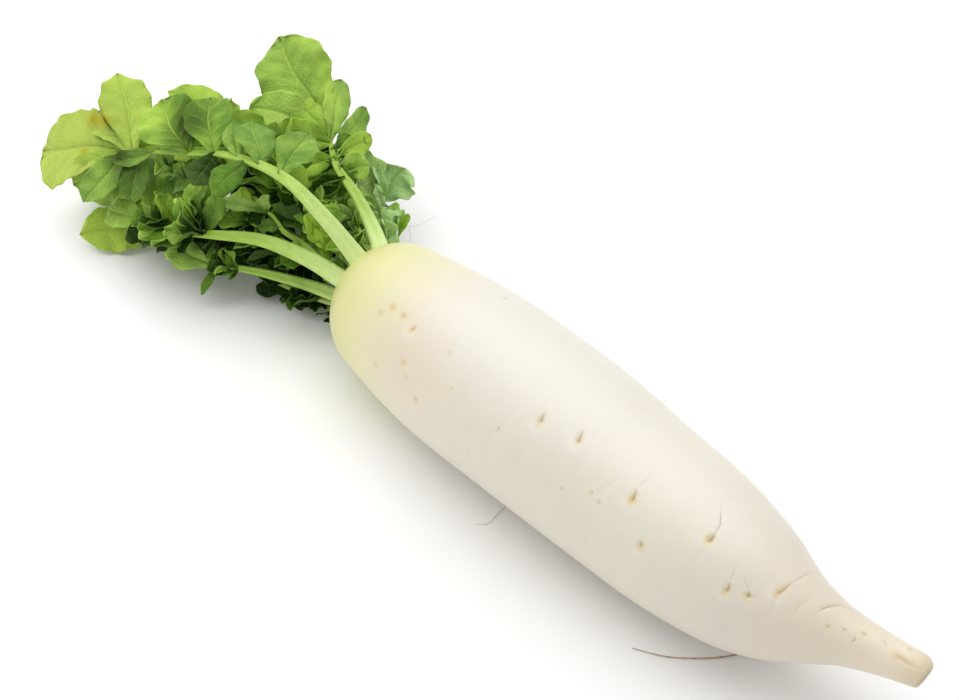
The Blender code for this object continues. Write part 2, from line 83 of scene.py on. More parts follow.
# The same, as (x, z): the belly lies along the table and the tail is carried clear of it.
HEIGHT = [
    (-120, 37.0), (-92, 37.2), (-40, 38.3), (0, 38.5), (30, 37.8), (60, 36.0), (100, 35.2), (207, 36.0),
]

# --- The leaves -------------------------------------------------------------------------------------
BLADE_THICKNESS = 0.8
STALK_SIDES = 8  # of the plain stalks that lobes are kept clear of
STALK_RINGS = 11
LEAST_HEIGHT = 0.6
WIDEST = 0.58  # where along its length a lobe is widest
NECK = 0.18  # width of a lobe where it leaves the midrib, as a share of the widest
SCALLOP_DEPTH = 0.08
HAND_SHIFT = 1.3  # how far the waves of a lobe's two halves are out of step
STALK_RISE = 0.55  # height of a stalk above its middle, and depth below it, as shares of its half-width
STALK_SAG = 0.85

# A lobe runs from base to tip, turns its upper face to facing, and bends by bend degrees on the way.
Lobe = namedtuple("Lobe", "base tip facing width bend fold ruffle waves phase")
# A listed lobe: where along the midrib it grows, its tip, its width, facing, and bend in degrees.
Placed = namedtuple("Placed", "along tip width facing bend")
# A leaf: its name, the points its midrib passes, which way its upper face looks, the half-width of its stalk
# and how fast it thins, its end lobe and its seed. Then its listed lobes, and how many pairs of lobes
# follow by rule: where the first pair grows, the length of the last, and their lift and bend in degrees.
Leaf = namedtuple(
    "Leaf",
    "name route facing stalk taper end seed placed pairs first length lift bend",
    defaults=[(), 0, 0, 0, 0, 0],
)

UP = (0.0, 0.0, 1.0)
VIEWER = (0.45, -0.4, 0.8)  # towards someone who stands at the tail and looks down

LEAVES = [
    Leaf(
        name="leaf_arched", facing=(0.15, -0.15, 1), stalk=5.6, taper=2.0, seed=3,
        route=[
            (-104, 2, 42), (-120, 1, 50), (-134, -6, 69), (-156, -12, 83), (-184, -19, 83), (-215, -26, 71),
            (-262, -35, 50),
        ],
        placed=[
            Placed(0.93, (-291, -11, 69), 26, VIEWER, 14), Placed(0.7, (-243, -20, 82), 31, VIEWER, 16),
            Placed(0.61, (-220, -6, 90), 25, VIEWER, 34), Placed(0.52, (-199, -9, 89), 12, VIEWER, 10),
            Placed(0.45, (-192, -3, 90), 20, (0.6, -0.1, 0.8), 30),
            Placed(0.39, (-172, 14, 87), 19, (0.5, -0.2, 0.9), 30),
            Placed(0.84, (-246, -47, 58), 9, VIEWER, 0),
            Placed(0.88, (-232, -49, 44), 15, (0.6, -0.6, 0.5), 30),
            Placed(0.6, (-193, -37, 70), 16, (0.3, -0.7, 0.6), 40),
            Placed(0.49, (-176, -38, 74), 15, (0.3, -0.6, 0.8), 50),
            Placed(0.96, (-252, -62, 38), 17, (0.4, -0.7, 0.6), 30),
            Placed(0.97, (-272, -55, 33), 22, VIEWER, 20), Placed(0.93, (-289, -22, 55), 26, VIEWER, 14),
            Placed(0.9, (-259, -53, 30), 22, (0.3, -0.5, 0.8), 20),
        ],
        end=Placed(1.0, (-305, -50, 35), 42, (0.44, -0.37, 0.82), 20),
    ),
    Leaf(
        name="leaf_tall", facing=VIEWER, stalk=5.0, taper=1.6, seed=5,
        route=[
            (-104, 9, 42), (-116, 12, 48), (-133, 19, 53), (-152, 25, 57), (-175, 32, 57), (-195, 44, 54),
            (-213, 54, 54),
        ],
        placed=[
            Placed(0.84, (-220, 71, 65), 15, (0.8, -0.2, 0.6), 14),
            Placed(0.76, (-203, 73, 56), 12, (0.9, 0.0, 0.5), 14),
            Placed(0.7, (-184, 60, 57), 12, (0.9, 0.1, 0.4), 20),
            Placed(0.62, (-168, 46, 55), 15, (0.7, -0.3, 0.6), 24),
            Placed(0.86, (-224, 46, 62), 16, VIEWER, 20), Placed(0.94, (-236, 29, 58), 24, VIEWER, 30),
            Placed(0.82, (-211, 27, 57), 20, VIEWER, 40), Placed(0.69, (-189, 18, 55), 14, VIEWER, 30),
        ],
        end=Placed(1.0, (-253, 59, 78), 38, VIEWER, 16),
    ),
    Leaf(
        name="leaf_front", facing=(0.1, -0.5, 0.9), stalk=4.9, taper=1.05, seed=11,
        pairs=3, first=0.76, length=18, lift=10, bend=34,
        route=[
            (-104, -4, 38), (-122, -7, 41), (-140, -14, 47), (-162, -23, 49), (-188, -33, 42),
            (-213, -39, 32), (-232, -44, 27),
        ],
        placed=[
            Placed(0.95, (-250, -22, 46), 15, VIEWER, 40), Placed(0.86, (-232, -18, 52), 15, VIEWER, 50),
            Placed(0.76, (-212, -20, 54), 14, VIEWER, 50), Placed(0.68, (-196, -22, 56), 11, VIEWER, 40),
        ],
        end=Placed(1.0, (-254, -48, 26), 16, VIEWER, 36),
    ),
    Leaf(
        name="leaf_front_low", facing=(0.1, -0.6, 0.8), stalk=4.0, taper=0.9, seed=17,
        pairs=2, first=0.84, length=10, lift=-5, bend=20,
        route=[
            (-104, -2, 28), (-121, -4, 27), (-140, -9, 26), (-160, -17, 25), (-180, -25, 22),
            (-198, -31, 17),
        ],
        placed=[Placed(0.93, (-189, -42, 9), 5, (0.3, -0.7, 0.6), 20)],
        end=Placed(1.0, (-222, -40, 19), 18, VIEWER, 16),
    ),
    Leaf(
        name="leaf_far", facing=UP, stalk=3.6, taper=1.1, seed=23,
        pairs=4, first=0.35, length=22, lift=8, bend=20,
        route=[(-104, 2, 24), (-119, 3, 21), (-145, -2, 13), (-185, -10, 8), (-225, -17, 8), (-262, -22, 10)],
        placed=[
            Placed(0.9, (-265, -60, 8), 25, (0.35, -0.4, 0.85), 8),
            Placed(0.86, (-258, -38, 17), 14, VIEWER, 14), Placed(0.8, (-247, -42, 12), 13, VIEWER, 14),
            Placed(0.92, (-272, 8, 18), 22, UP, 14),
        ],
        end=Placed(1.0, (-300, -28, 10), 28, UP, 14),
    ),
    Leaf(
        name="leaf_curled", facing=(0.5, 0.0, 0.8), stalk=3.8, taper=1.2, seed=29,
        pairs=4, first=0.45, length=14, lift=8, bend=-24,
        route=[
            (-104, 12, 36), (-116, 16, 37), (-134, 30, 35), (-151, 41, 30), (-166, 52, 26), (-177, 61, 22),
        ],
        placed=[
            Placed(0.9, (-192, 55, 46), 20, (0.7, -0.3, 0.7), -24),
            Placed(0.8, (-157, 58, 22), 15, (0.7, -0.1, 0.6), -30),
        ],
        end=Placed(1.0, (-173, 72, 37), 27, (0.6, -0.4, 0.7), -36),
    ),
    Leaf(
        name="leaf_middle", facing=UP, stalk=3.4, taper=1.1, seed=37,
        pairs=4, first=0.4, length=25, lift=10, bend=30,
        route=[(-104, 3, 36), (-122, 5, 38), (-145, 4, 44), (-172, 6, 48), (-205, 13, 48), (-238, 22, 47)],
        placed=[
            Placed(0.95, (-264, -27, 46), 26, VIEWER, 20), Placed(0.9, (-251, -21, 43), 22, VIEWER, 14),
            Placed(0.85, (-240, -10, 54), 20, VIEWER, 20), Placed(0.82, (-227, 10, 72), 24, VIEWER, 24),
        ],
        end=Placed(1.0, (-264, -1, 68), 22, (0.1, -0.3, 0.95), 36),
    ),
    Leaf(
        name="leaf_heart", facing=(0.2, -0.3, 1), stalk=2.8, taper=1.1, seed=41,
        pairs=5, first=0.25, length=18, lift=16, bend=-24,
        route=[
            (-104, 0, 34), (-123, -1, 34), (-143, -6, 37), (-165, -10, 40), (-190, -15, 43),
            (-212, -18, 44),
        ],
        end=Placed(1.0, (-232, -22, 48), 16, VIEWER, 30),
    ),
    Leaf(
        name="leaf_inner", facing=(0.2, -0.4, 1), stalk=2.6, taper=1.0, seed=47,
        pairs=4, first=0.28, length=17, lift=12, bend=26,
        route=[(-104, 4, 29), (-121, 5, 29), (-140, 3, 30), (-165, -4, 31), (-190, -13, 30), (-210, -22, 27)],
        placed=[Placed(0.66, (-186, -19, 23), 14, VIEWER, 20), Placed(0.5, (-172, -14, 22), 13, VIEWER, 20)],
        end=Placed(1.0, (-232, -32, 22), 16, UP, 20),
    ),
    Leaf(
        name="leaf_back", facing=UP, stalk=3.6, taper=1.1, seed=31,
        pairs=5, first=0.36, length=24, lift=10, bend=20,
        route=[(-104, 9, 29), (-117, 13, 25), (-142, 22, 17), (-175, 34, 13), (-210, 46, 10), (-232, 54, 9)],
        end=Placed(1.0, (-266, 66, 6), 32, UP, 14),
    ),
    Leaf(
        name="leaf_under", facing=UP, stalk=3.0, taper=1.0, seed=43,
        pairs=5, first=0.34, length=12, lift=4, bend=14,
        route=[(-104, -1, 22), (-118, 0, 16), (-134, 0, 10), (-150, -2, 7), (-165, -7, 6)],
        end=Placed(1.0, (-184, -14, 5), 13, UP, 10),
    ),
]

# Towards the side that the tuft shows, the stalks that stay bare on that side and up to what share of their
# length, and how far over the table the small lobes may reach, seen from there: (x, y) in front and behind.
SHOWN = Vector((0.65, -0.44, 0.62))
BARE = {"leaf_arched": 1.0, "leaf_tall": 0.9, "leaf_front": 0.66, "leaf_front_low": 0.86}
FRONT_EDGE = [(-340, -70), (-258, -48), (-229, -31), (-202, -21), (-163, -13), (-139, -3), (-100, -3)]
BACK_EDGE = [(-380, 20), (-345, 45), (-300, 100), (-254, 107), (-222, 93), (-190, 78), (-169, 60)]

# Old spots on the leaves: where and how wide.
SPOTS = [((-288, -30, 52), 3.2), ((-283, -27, 52), 3.2), ((-278, -44, 46), 2.2)]

# How a lobe that would touch another leaf is bent clear: lift and roll in degrees, and size.
BENDS = [
    (0, 0, 1.0), (8, 0, 1.0), (-8, 0, 1.0), (16, 0, 1.0), (-16, 0, 1.0), (0, 20, 0.95), (0, -20, 0.95),
    (24, 0, 0.9), (-24, 0, 0.9), (12, 20, 0.85), (-12, -20, 0.85), (34, 0, 0.8), (-34, 0, 0.8),
    (20, 30, 0.7), (-20, -30, 0.7), (0, 0, 0.6),
]


# --- Curves -----------------------------------------------------------------------------------------
def slope_at(xs, ys, k):
    """Slope of a curve at its point k, from the points on either side."""
    low, high = max(k - 1, 0), min(k + 1, len(xs) - 1)
    return (ys[high] - ys[low]) / (xs[high] - xs[low])


def eased(start, end, slopes, step, t):
    """A smooth way from start to end over a step, with these slopes at its ends, read at the share t."""
    return (
        start * (1 + 2 * t) * (1 - t) ** 2
        + slopes[0] * step * t * (1 - t) ** 2
        + end * t * t * (3 - 2 * t)
        - slopes[1] * step * t * t * (1 - t)
    )


def value_at(points, x):
    """A smooth curve through (x, value) points, read at x."""
    xs, ys = zip(*points)
    x = min(max(x, xs[0]), xs[-1])
    i = max(k for k in range(len(xs) - 1) if xs[k] <= x)
    step = xs[i + 1] - xs[i]
    return eased(ys[i], ys[i + 1], (slope_at(xs, ys, i), slope_at(xs, ys, i + 1)), step, (x - xs[i]) / step)


def curve(points, places):
    """value_at for many places at once."""
    xs, ys = np.array(points, float).T
    slopes = np.array([slope_at(xs, ys, k) for k in range(len(xs))])
    places = np.clip(places, xs[0], xs[-1])
    i = np.clip(np.searchsorted(xs, places, side="right") - 1, 0, len(xs) - 2)
    step = xs[i + 1] - xs[i]
    return eased(ys[i], ys[i + 1], (slopes[i], slopes[i + 1]), step, (places - xs[i]) / step)


def route_points(route, count):
    """count points spaced evenly along a smooth curve through the route."""
    lengths = [0.0]
    for a, b in zip(route, route[1:]):
        lengths.append(lengths[-1] + (Vector(b) - Vector(a)).length)
    axes = [[(s, p[k]) for s, p in zip(lengths, route)] for k in range(3)]
    stations = [lengths[-1] * i / (count - 1) for i in range(count)]
    return [Vector([value_at(axis, s) for axis in axes]) for s in stations]


def across(direction, facing):
    """(sideways, upwards) unit vectors square to direction, with upwards as near to facing as it goes."""
    side = direction.cross(Vector(facing)).normalized()
    return side, side.cross(direction).normalized()


# --- Plain shapes that leaves are kept clear of -----------------------------------------------------
def loft(rings):
    """(points, faces) of a closed tube through rings of the same count of points."""
    sides = len(rings[0])
    points = [p for ring in rings for p in ring]
    faces = []
    for i in range(len(rings) - 1):
        for k in range(sides):
            a, b = i * sides + k, i * sides + (k + 1) % sides
            faces += [(a, a + sides, b + sides), (a, b + sides, b)]
    last = (len(rings) - 1) * sides
    faces.append(tuple(range(sides)))
    faces.append(tuple(last + k for k in reversed(range(sides))))
    return points, faces


def root_stations(grow):
    """(x, radius) of each ring from the crown to the tail, closer together where the outline turns."""
    stations = []
    crown = CROWN_RADIUS + grow
    for i in range(1, COARSE_CROWN + 1):
        reach = math.sin(0.5 * math.pi * i / (COARSE_CROWN + 0.8))
        along = (1 - reach**CROWN_BLUNTNESS) ** (1 / CROWN_BLUNTNESS)
        stations.append((CROWN_CENTRE_X - crown * along, crown * reach))
    first, last = PROFILE[0][0] + 6, PROFILE[-1][0]
    for i in range(COARSE_BODY + 1):
        x = first + (last - first) * i / COARSE_BODY
        stations.append((x, value_at(PROFILE, x) + grow))
    end = PROFILE[-1][1] + grow
    for i in range(1, COARSE_TAIL + 1):
        turn = 0.5 * math.pi * i / (COARSE_TAIL + 0.7)
        stations.append((last + (TAIL_CAP + grow) * math.sin(turn), end * math.cos(turn) ** 0.8))
    return stations


def lumps(x, turn):
    """The root isn't turned on a lathe: this scales its radius a little with place and angle."""
    return 1 + 0.010 * math.sin(2 * turn + x / 60) + 0.006 * math.sin(3 * turn - x / 37 + 1)


def root_ring(x, radius):
    centre = Vector((x, value_at(SIDEWAYS, x), value_at(HEIGHT, x)))
    ahead = Vector((x + 1, value_at(SIDEWAYS, x + 1), value_at(HEIGHT, x + 1)))
    side, up = across((ahead - centre).normalized(), UP)
    ring = []
    for k in range(COARSE_SIDES):
        turn = 2 * math.pi * k / COARSE_SIDES
        reach = radius * lumps(x, turn)
        ring.append(centre + side * reach * math.cos(turn) + up * reach * math.sin(turn))
    return ring


def root_mesh(grow):
    """(points, faces) of a root that is fatter by grow, which the leaves are kept clear of."""
    return loft([root_ring(x, radius) for x, radius in root_stations(grow)])


def outline(u):
    """Half-width of a lobe along its length, as a share of the widest: narrow, then broad, then round."""
    if u < WIDEST:
        return NECK + (1 - NECK) * (0.5 - 0.5 * math.cos(math.pi * u / WIDEST)) ** 0.7
    return math.sqrt(max(0.0, 1 - ((u - WIDEST) / (1 - WIDEST)) ** 2))


def lobe_arc(lobe):
    """(length, direction, sideways, upwards, bend, radius) of the arc that a lobe's middle follows."""
    chord = lobe.tip - lobe.base
    length = chord.length
    chord.normalize()
    bend = math.radians(lobe.bend) or 1e-4
    return length, chord, *across(chord, lobe.facing), bend, length / (2 * math.sin(bend / 2))


def lobe_rows(lobe, along, sideways):
    """Rows of (point, normal) over a lobe's blade, from its base to its tip."""
    length, chord, side, up, bend, radius = lobe_arc(lobe)
    fold = math.radians(lobe.fold)
    rows = []
    for i in range(along + 1):
        u = 0.985 * math.sin(0.5 * math.pi * i / along) ** 1.15
        turn = (u - 0.5) * bend
        middle = (
            lobe.base
            + chord * (length / 2 + radius * math.sin(turn))
            + up * radius * (math.cos(turn) - math.cos(bend / 2))
        )
        normal = chord * math.sin(turn) + up * math.cos(turn)
        half = max(0.8, lobe.width / 2 * outline(u))
        row = []
        for k in range(sideways + 1):
            v = 2 * k / sideways - 1
            hand = HAND_SHIFT if v > 0 else 0
            wave = math.sin(2 * math.pi * lobe.waves * u + lobe.phase + hand)
            cut = 1 + SCALLOP_DEPTH * abs(v) * math.cos(4 * math.pi * lobe.waves * u + lobe.phase + hand)
            rise = half * abs(v) * math.sin(fold) + lobe.ruffle * abs(v) ** 1.5 * wave * outline(u)
            row.append((middle + side * half * cut * v * math.cos(fold) + normal * rise, normal))
        rows.append(row)
    return rows


def lobe_mesh(lobe, thickness=BLADE_THICKNESS):
    """(points, faces) of a lobe as a closed thin blade, split into triangles alike on both faces."""
    along = 4 + (lobe.width > 15) + (lobe.width > 24) + (lobe.width > 30)
    sideways = 4 if lobe.width > 30 else 2
    rows = lobe_rows(lobe, along, sideways)
    across_count = sideways + 1
    half = thickness / 2
    points = [p + n * half for row in rows for p, n in row]
    points += [p - n * half for row in rows for p, n in row]
    below = len(rows) * across_count
    faces = []
    for i in range(along):
        for k in range(sideways):
            a = i * across_count + k
            b, c, d = a + 1, a + across_count + 1, a + across_count
            faces += [(a, b, c), (a, c, d)]
            faces += [(a + below, c + below, b + below), (a + below, d + below, c + below)]
    rim = list(range(across_count))
    rim += [i * across_count + sideways for i in range(1, along + 1)]
    rim += [along * across_count + k for k in range(sideways - 1, -1, -1)]
    rim += [i * across_count for i in range(along - 1, 0, -1)]
    for a, b in zip(rim, rim[1:] + rim[:1]):
        faces += [(a, b + below, b), (a, a + below, b + below)]
    return points, faces


def stalk_width(leaf, t):
    """Half-width of the stalk and midrib: broad where it clasps the crown, fine at the far end."""
    return leaf.stalk * (0.15 + 0.85 * (1 - t) ** leaf.taper) + 0.2


def stalk_mesh(leaf, grow):
    """(points, faces) of the leaf's stalk, thicker by grow: rounder below than above."""
    middle = route_points(leaf.route, STALK_RINGS)
    sides = STALK_SIDES if leaf.stalk > 4 else STALK_SIDES - 2
    rings = []
    for i, centre in enumerate(middle):
        ahead = middle[min(i + 1, STALK_RINGS - 1)] - middle[max(i - 1, 0)]
        side, up = across(ahead.normalized(), leaf.facing)
        half = stalk_width(leaf, i / (STALK_RINGS - 1)) + grow
        ring = []
        for k in range(sides):
            turn = 2 * math.pi * k / sides
            depth = STALK_RISE if math.sin(turn) > 0 else STALK_SAG
            ring.append(centre + side * half * math.cos(turn) + up * half * depth * math.sin(turn))
        rings.append(ring)
    return loft(rings)


def midrib_at(leaf, t):
    """(point, direction, sideways, upwards) of the midrib at the share t of its length."""
    middle = route_points(leaf.route, STALK_RINGS)
    last = STALK_RINGS - 1
    i = min(int(t * last), last - 1)
    point = middle[i].lerp(middle[i + 1], t * last - i)
    direction = (middle[i + 1] - middle[i]).normalized()
    return point, direction, *across(direction, leaf.facing)


def lobes_of(leaf):
    """The lobes that the leaf would have if nothing were in its way, the end one first."""
    draw = random.Random(leaf.seed)
    lobes = []
    for placed in [leaf.end, *leaf.placed]:
        base = midrib_at(leaf, min(placed.along, 0.97))[0]
        waves, ruffle = 1.5 + draw.random(), 0.05 * placed.width
        tip, phase = Vector(placed.tip), draw.uniform(0, 2 * math.pi)
        lobes.append(Lobe(base, tip, placed.facing, placed.width, placed.bend, 10, ruffle, waves, phase))
    for i in range(leaf.pairs):
        share = i / max(leaf.pairs - 1, 1)
        for hand in (-1, 1):
            t = leaf.first + (0.92 - leaf.first) * share + draw.uniform(-0.02, 0.02)
            point, direction, side, up = midrib_at(leaf, t)
            sweep = math.radians(25 + 25 * share + draw.uniform(-8, 8))
            lift = math.radians(leaf.lift + draw.uniform(-14, 14))
            flat = side * hand * math.cos(sweep) + direction * math.sin(sweep)
            outward = flat * math.cos(lift) + up * math.sin(lift)
            length = leaf.length * (0.6 + 0.4 * share) * draw.uniform(0.85, 1.15)
            width = length * draw.uniform(0.7, 0.9)
            bend = leaf.bend + draw.uniform(-8, 8)
            phase = draw.uniform(0, 2 * math.pi)
            lobes.append(
                Lobe(point, point + outward * length, up, width, bend, 12, 0.06 * width, 1.5, phase)
            )
    return lobes


def bent(lobe, lift, roll, size):
    """The lobe turned up by lift degrees, rolled about its own length, and made smaller."""
    chord = lobe.tip - lobe.base
    side, up = across(chord.normalized(), lobe.facing)
    chord = Matrix.Rotation(math.radians(lift), 3, side) @ chord * size
    facing = Matrix.Rotation(math.radians(roll), 3, chord) @ up
    return lobe._replace(tip=lobe.base + chord, facing=facing, width=lobe.width * size)


def tree_of(mesh):
    points, faces = mesh
    return BVHTree.FromPolygons(points, faces)


def fits(lobe, others):
    """Whether the lobe, with room round it, is clear of the other leaves, the root and the table."""
    reach = (lobe.tip - lobe.base).normalized() * GAP
    roomy = lobe._replace(tip=lobe.tip + reach, width=lobe.width + 2 * GAP)
    mesh = lobe_mesh(roomy, BLADE_THICKNESS + 2 * GAP)
    if min(p.z for p in mesh[0]) < LEAST_HEIGHT:
        return False
    tree = tree_of(mesh)
    return not any(tree.overlap(other) for other in others)


def bare_stalks(leaves, own):
    """The bare parts of the stalks of all the leaves but one's own."""
    trees = []
    for leaf in leaves:
        if leaf.name in BARE and leaf.name != own:
            points, faces = stalk_mesh(leaf, GAP)
            end = int(len(points) * BARE[leaf.name])
            trees.append(tree_of((points, [face for face in faces if max(face) < end])))
    return trees


def straggles(lobe, stalks):
    """Whether the lobe hides a bare stalk or reaches past the tuft's edges, on the side that it shows."""
    for point in lobe_mesh(lobe)[0]:
        if any(tree.ray_cast(point, -SHOWN)[0] for tree in stalks):
            return True
        seen = point - SHOWN * (point.z / SHOWN.z)
        if not value_at(FRONT_EDGE, seen.x) < seen.y < value_at(BACK_EDGE, seen.x):
            return True
    return False


def grown_lobes(leaves):
    """Each leaf's lobes after every one that would touch another leaf is bent clear or left out."""
    root = tree_of(root_mesh(GAP))
    stalks = {leaf.name: tree_of(stalk_mesh(leaf, GAP)) for leaf in leaves}
    grown = {leaf.name: [] for leaf in leaves}
    trees = {leaf.name: [] for leaf in leaves}
    for leaf in leaves:
        others = [root]
        for other in leaves:
            if other is not leaf:
                others += [stalks[other.name], *trees[other.name]]
        bare = bare_stalks(leaves, leaf.name)
        for index, lobe in enumerate(lobes_of(leaf)):
            by_hand = index <= len(leaf.placed)
            for lift, roll, size in BENDS:
                tried = bent(lobe, lift, roll, size)
                if fits(tried, others) and (by_hand or not straggles(tried, bare)):
                    grown[leaf.name].append(tried)
                    trees[leaf.name].append(tree_of(lobe_mesh(tried)))
                    break
    return grown


# --- Materials --------------------------------------------------------------------------------------
RIB_SLANT = 0.30  # how far a side vein starts back from where it ends, and how much of that it makes up again
RIB_CURL = 0.08


class Wire:
    """What comes out of a node's socket, with the sums that materials need."""

    def __init__(self, recipe, socket):
        self.recipe = recipe
        self.socket = socket

    def sum(self, operation, *values, clamp=False):
        settings = {"operation": operation, "use_clamp": clamp}
        return self.recipe.node("ShaderNodeMath", settings, dict(enumerate(values)))

    def __add__(self, other):
        return self.sum("ADD", self, other)

    def __radd__(self, other):
        return self.sum("ADD", other, self)

    def __sub__(self, other):
        return self.sum("SUBTRACT", self, other)

    def __mul__(self, other):
        return self.sum("MULTIPLY", self, other)

    def __truediv__(self, other):
        return self.sum("DIVIDE", self, other)

    def __abs__(self):
        return self.sum("ABSOLUTE", self)

    def clamped(self):
        return self.sum("ADD", self, 0.0, clamp=True)

    def fraction(self):
        return self.sum("FRACT", self)

    def between(self, low, high, to_low=0.0, to_high=1.0):
        """Turned from the range low to high into the range to_low to to_high, eased and kept inside it."""
        values = {"Value": self, "From Min": low, "From Max": high, "To Min": to_low, "To Max": to_high}
        return self.recipe.node("ShaderNodeMapRange", {"interpolation_type": "SMOOTHSTEP"}, values)


class Recipe:
    """The nodes of one material."""

    def __init__(self, name, roughness, scatter=0.0, scatter_reach=(0.004, 0.003, 0.002), shine=0.5):
        self.material = bpy.data.materials.new(name)
        self.material.use_nodes = True
        self.tree = self.material.node_tree
        self.surface = self.tree.nodes["Principled BSDF"]
        self.surface.inputs["Roughness"].default_value = roughness
        self.surface.inputs["Specular IOR Level"].default_value = shine
        self.surface.inputs["Subsurface Weight"].default_value = scatter
        self.surface.inputs["Subsurface Radius"].default_value = scatter_reach
        self.surface.inputs["Subsurface Scale"].default_value = 1.0
        self.place = self.node("ShaderNodeTexCoord", output="Object")

    def node(self, kind, settings=None, values=None, output=0):
        """Adds a node with its settings, then the numbers or wires of its sockets."""
        node = self.tree.nodes.new(kind)
        for key, value in (settings or {}).items():
            if key == "stops":
                ramp = node.color_ramp
                while len(ramp.elements) < len(value):
                    ramp.elements.new(0.5)
                for element, (position, colour) in zip(ramp.elements, value):
                    element.position = position
                    element.color = (*colour, 1.0)
            else:
                setattr(node, key, value)
        for key, value in (values or {}).items():
            self.feed(node.inputs[key], value)
        return Wire(self, node.outputs[output])

    def feed(self, socket, value):
        if isinstance(value, Wire):
            self.tree.links.new(value.socket, socket)
        elif socket.type == "RGBA":
            socket.default_value = (*value, 1.0)
        else:
            socket.default_value = value

    def attribute(self, name):
        return self.node("ShaderNodeAttribute", {"attribute_name": name}, output="Fac")

    def axes(self, vector=None):
        """The three parts of a vector, by default of the place on the object, in metres."""
        node = self.node("ShaderNodeSeparateXYZ", values={0: vector or self.place}).socket.node
        return [Wire(self, socket) for socket in node.outputs]

    def stretched(self, scale):
        return self.node("ShaderNodeMapping", values={"Vector": self.place, "Scale": scale})

    def noise(self, scale, detail=3.0, rough=0.5, vector=None):
        values = {"Vector": vector or self.place, "Scale": scale, "Detail": detail, "Roughness": rough}
        return self.node("ShaderNodeTexNoise", values=values, output="Fac")

    def mix(self, share, first, second, blend="MIX"):
        """The first colour turned into the second by a share from 0 to 1."""
        settings = {"data_type": "RGBA", "blend_type": blend}
        return self.node("ShaderNodeMix", settings, {0: share, 6: first, 7: second}, output=2)

    def ramp(self, share, stops):
        settings = {"stops": stops}
        return self.node("ShaderNodeValToRGB", settings, {"Fac": share}, output="Color")

    def bump(self, height, reach, strength=1.0):
        values = {"Height": height, "Distance": reach, "Strength": strength}
        self.feed(self.surface.inputs["Normal"], self.node("ShaderNodeBump", values=values, output="Normal"))

    def paint(self, colour, roughness=None):
        self.feed(self.surface.inputs["Base Color"], colour)
        if roughness is not None:
            self.feed(self.surface.inputs["Roughness"], roughness)
        return self.material


def skin_material(looks):
    """White skin that turns yellow-green at the crown and beige at the tail, with its scars, painted
    highlight and shade.
    """
    skin = Recipe("radish_skin", 0.42, 0.35, (0.006, 0.0042, 0.0026))
    skin.surface.inputs["Coat Weight"].default_value = 0.6
    skin.surface.inputs["Coat Roughness"].default_value = 0.42
    along, side, height = skin.axes()
    cloud = skin.noise(22.0, 3.0)
    drift = along + (cloud - 0.5) * 0.030 + side * 0.20
    share = drift.between(-0.125, 0.215)
    linear = (drift + 0.125) / 0.34
    base = skin.ramp(
        linear.clamped(),
        [
            (0.0, looks.crown_colour),
            (0.10, looks.shoulder_colour),
            (0.19, (0.79, 0.745, 0.59)),
            (0.29, looks.skin_colour),
            (0.62, looks.skin_colour),
            (0.76, (0.73, 0.675, 0.57)),
            (0.86, (0.74, 0.66, 0.53)),
            (1.0, looks.tail_colour),
        ],
    )
    mottle = skin.noise(1.0, 4.0, 0.6, skin.stretched((160.0, 38.0, 38.0)))
    base = skin.mix(mottle.between(0.45, 0.75, 0.0, 0.30), base, (0.73, 0.665, 0.555))
    # Painted highlight: the top of the body is painted paler, as where the lamp above lights it.
    pale = height.between(0.056, 0.080) * along.between(-0.065, -0.035) * 0.8
    base = skin.mix(pale, base, (0.79, 0.76, 0.70))
    base = skin.mix(skin.attribute("blush").clamped() * 0.55, base, looks.blush_colour)
    # Painted highlight: the raised swelling beside each deeper slit is painted paler.
    base = skin.mix(skin.attribute("lip").clamped() * 0.5, base, (0.86, 0.83, 0.76))
    base = skin.mix(skin.attribute("ochre").clamped() * 0.85, base, looks.scar_colour)
    # Dark brown of the scars, with painted shade deep in the slits and along the fine creases.
    slit = abs(skin.attribute("aside")).between(0.25, 1.1, 1.0, 0.0) * skin.attribute("slit")
    dark = (skin.attribute("shade") + slit).clamped()
    base = skin.mix(dark * 0.5, base, looks.crease_scar_and_shade_colour)
    base = skin.mix(along.between(0.193, 0.204) * 0.5, base, (0.58, 0.49, 0.30))
    base = skin.mix(skin.attribute("worn").clamped() * (cloud + 0.35).clamped(), base, (0.38, 0.27, 0.10))
    fine = skin.noise(1.0, 3.0, 0.55, skin.stretched((900.0, 120.0, 120.0)))
    pores = skin.noise(1400.0, 2.0)
    skin.bump(fine * 0.7 + pores * 0.3 - slit * 0.5, 0.00022, 0.55)
    return skin.paint(base, 0.36 + mottle * 0.16 + share * 0.05)


def leaf_pattern(leaf):
    """(midrib, side veins, swelling between them) of a blade, drawn on its map."""
    x, y, _ = leaf.axes(leaf.node("ShaderNodeUVMap", output="UV"))
    off_middle = abs(x * 2.0 - 1.0)
    middle = off_middle.between(0.02, 0.075, 1.0, 0.0) * y.between(0.6, 1.0, 1.0, 0.25)
    ribs = leaf.attribute("ribs")
    wobble = (leaf.noise(160.0, 2.0) - 0.5) * 0.35
    phase = (ribs * (y - off_middle * RIB_SLANT + off_middle * off_middle * RIB_CURL) + wobble).fraction()
    side = abs(phase - 0.5).between(0.03, 0.12, 1.0, 0.0) * off_middle.between(0.5, 0.95, 1.0, 0.0)
    return middle, side, abs(phase - 0.5) * 2.0


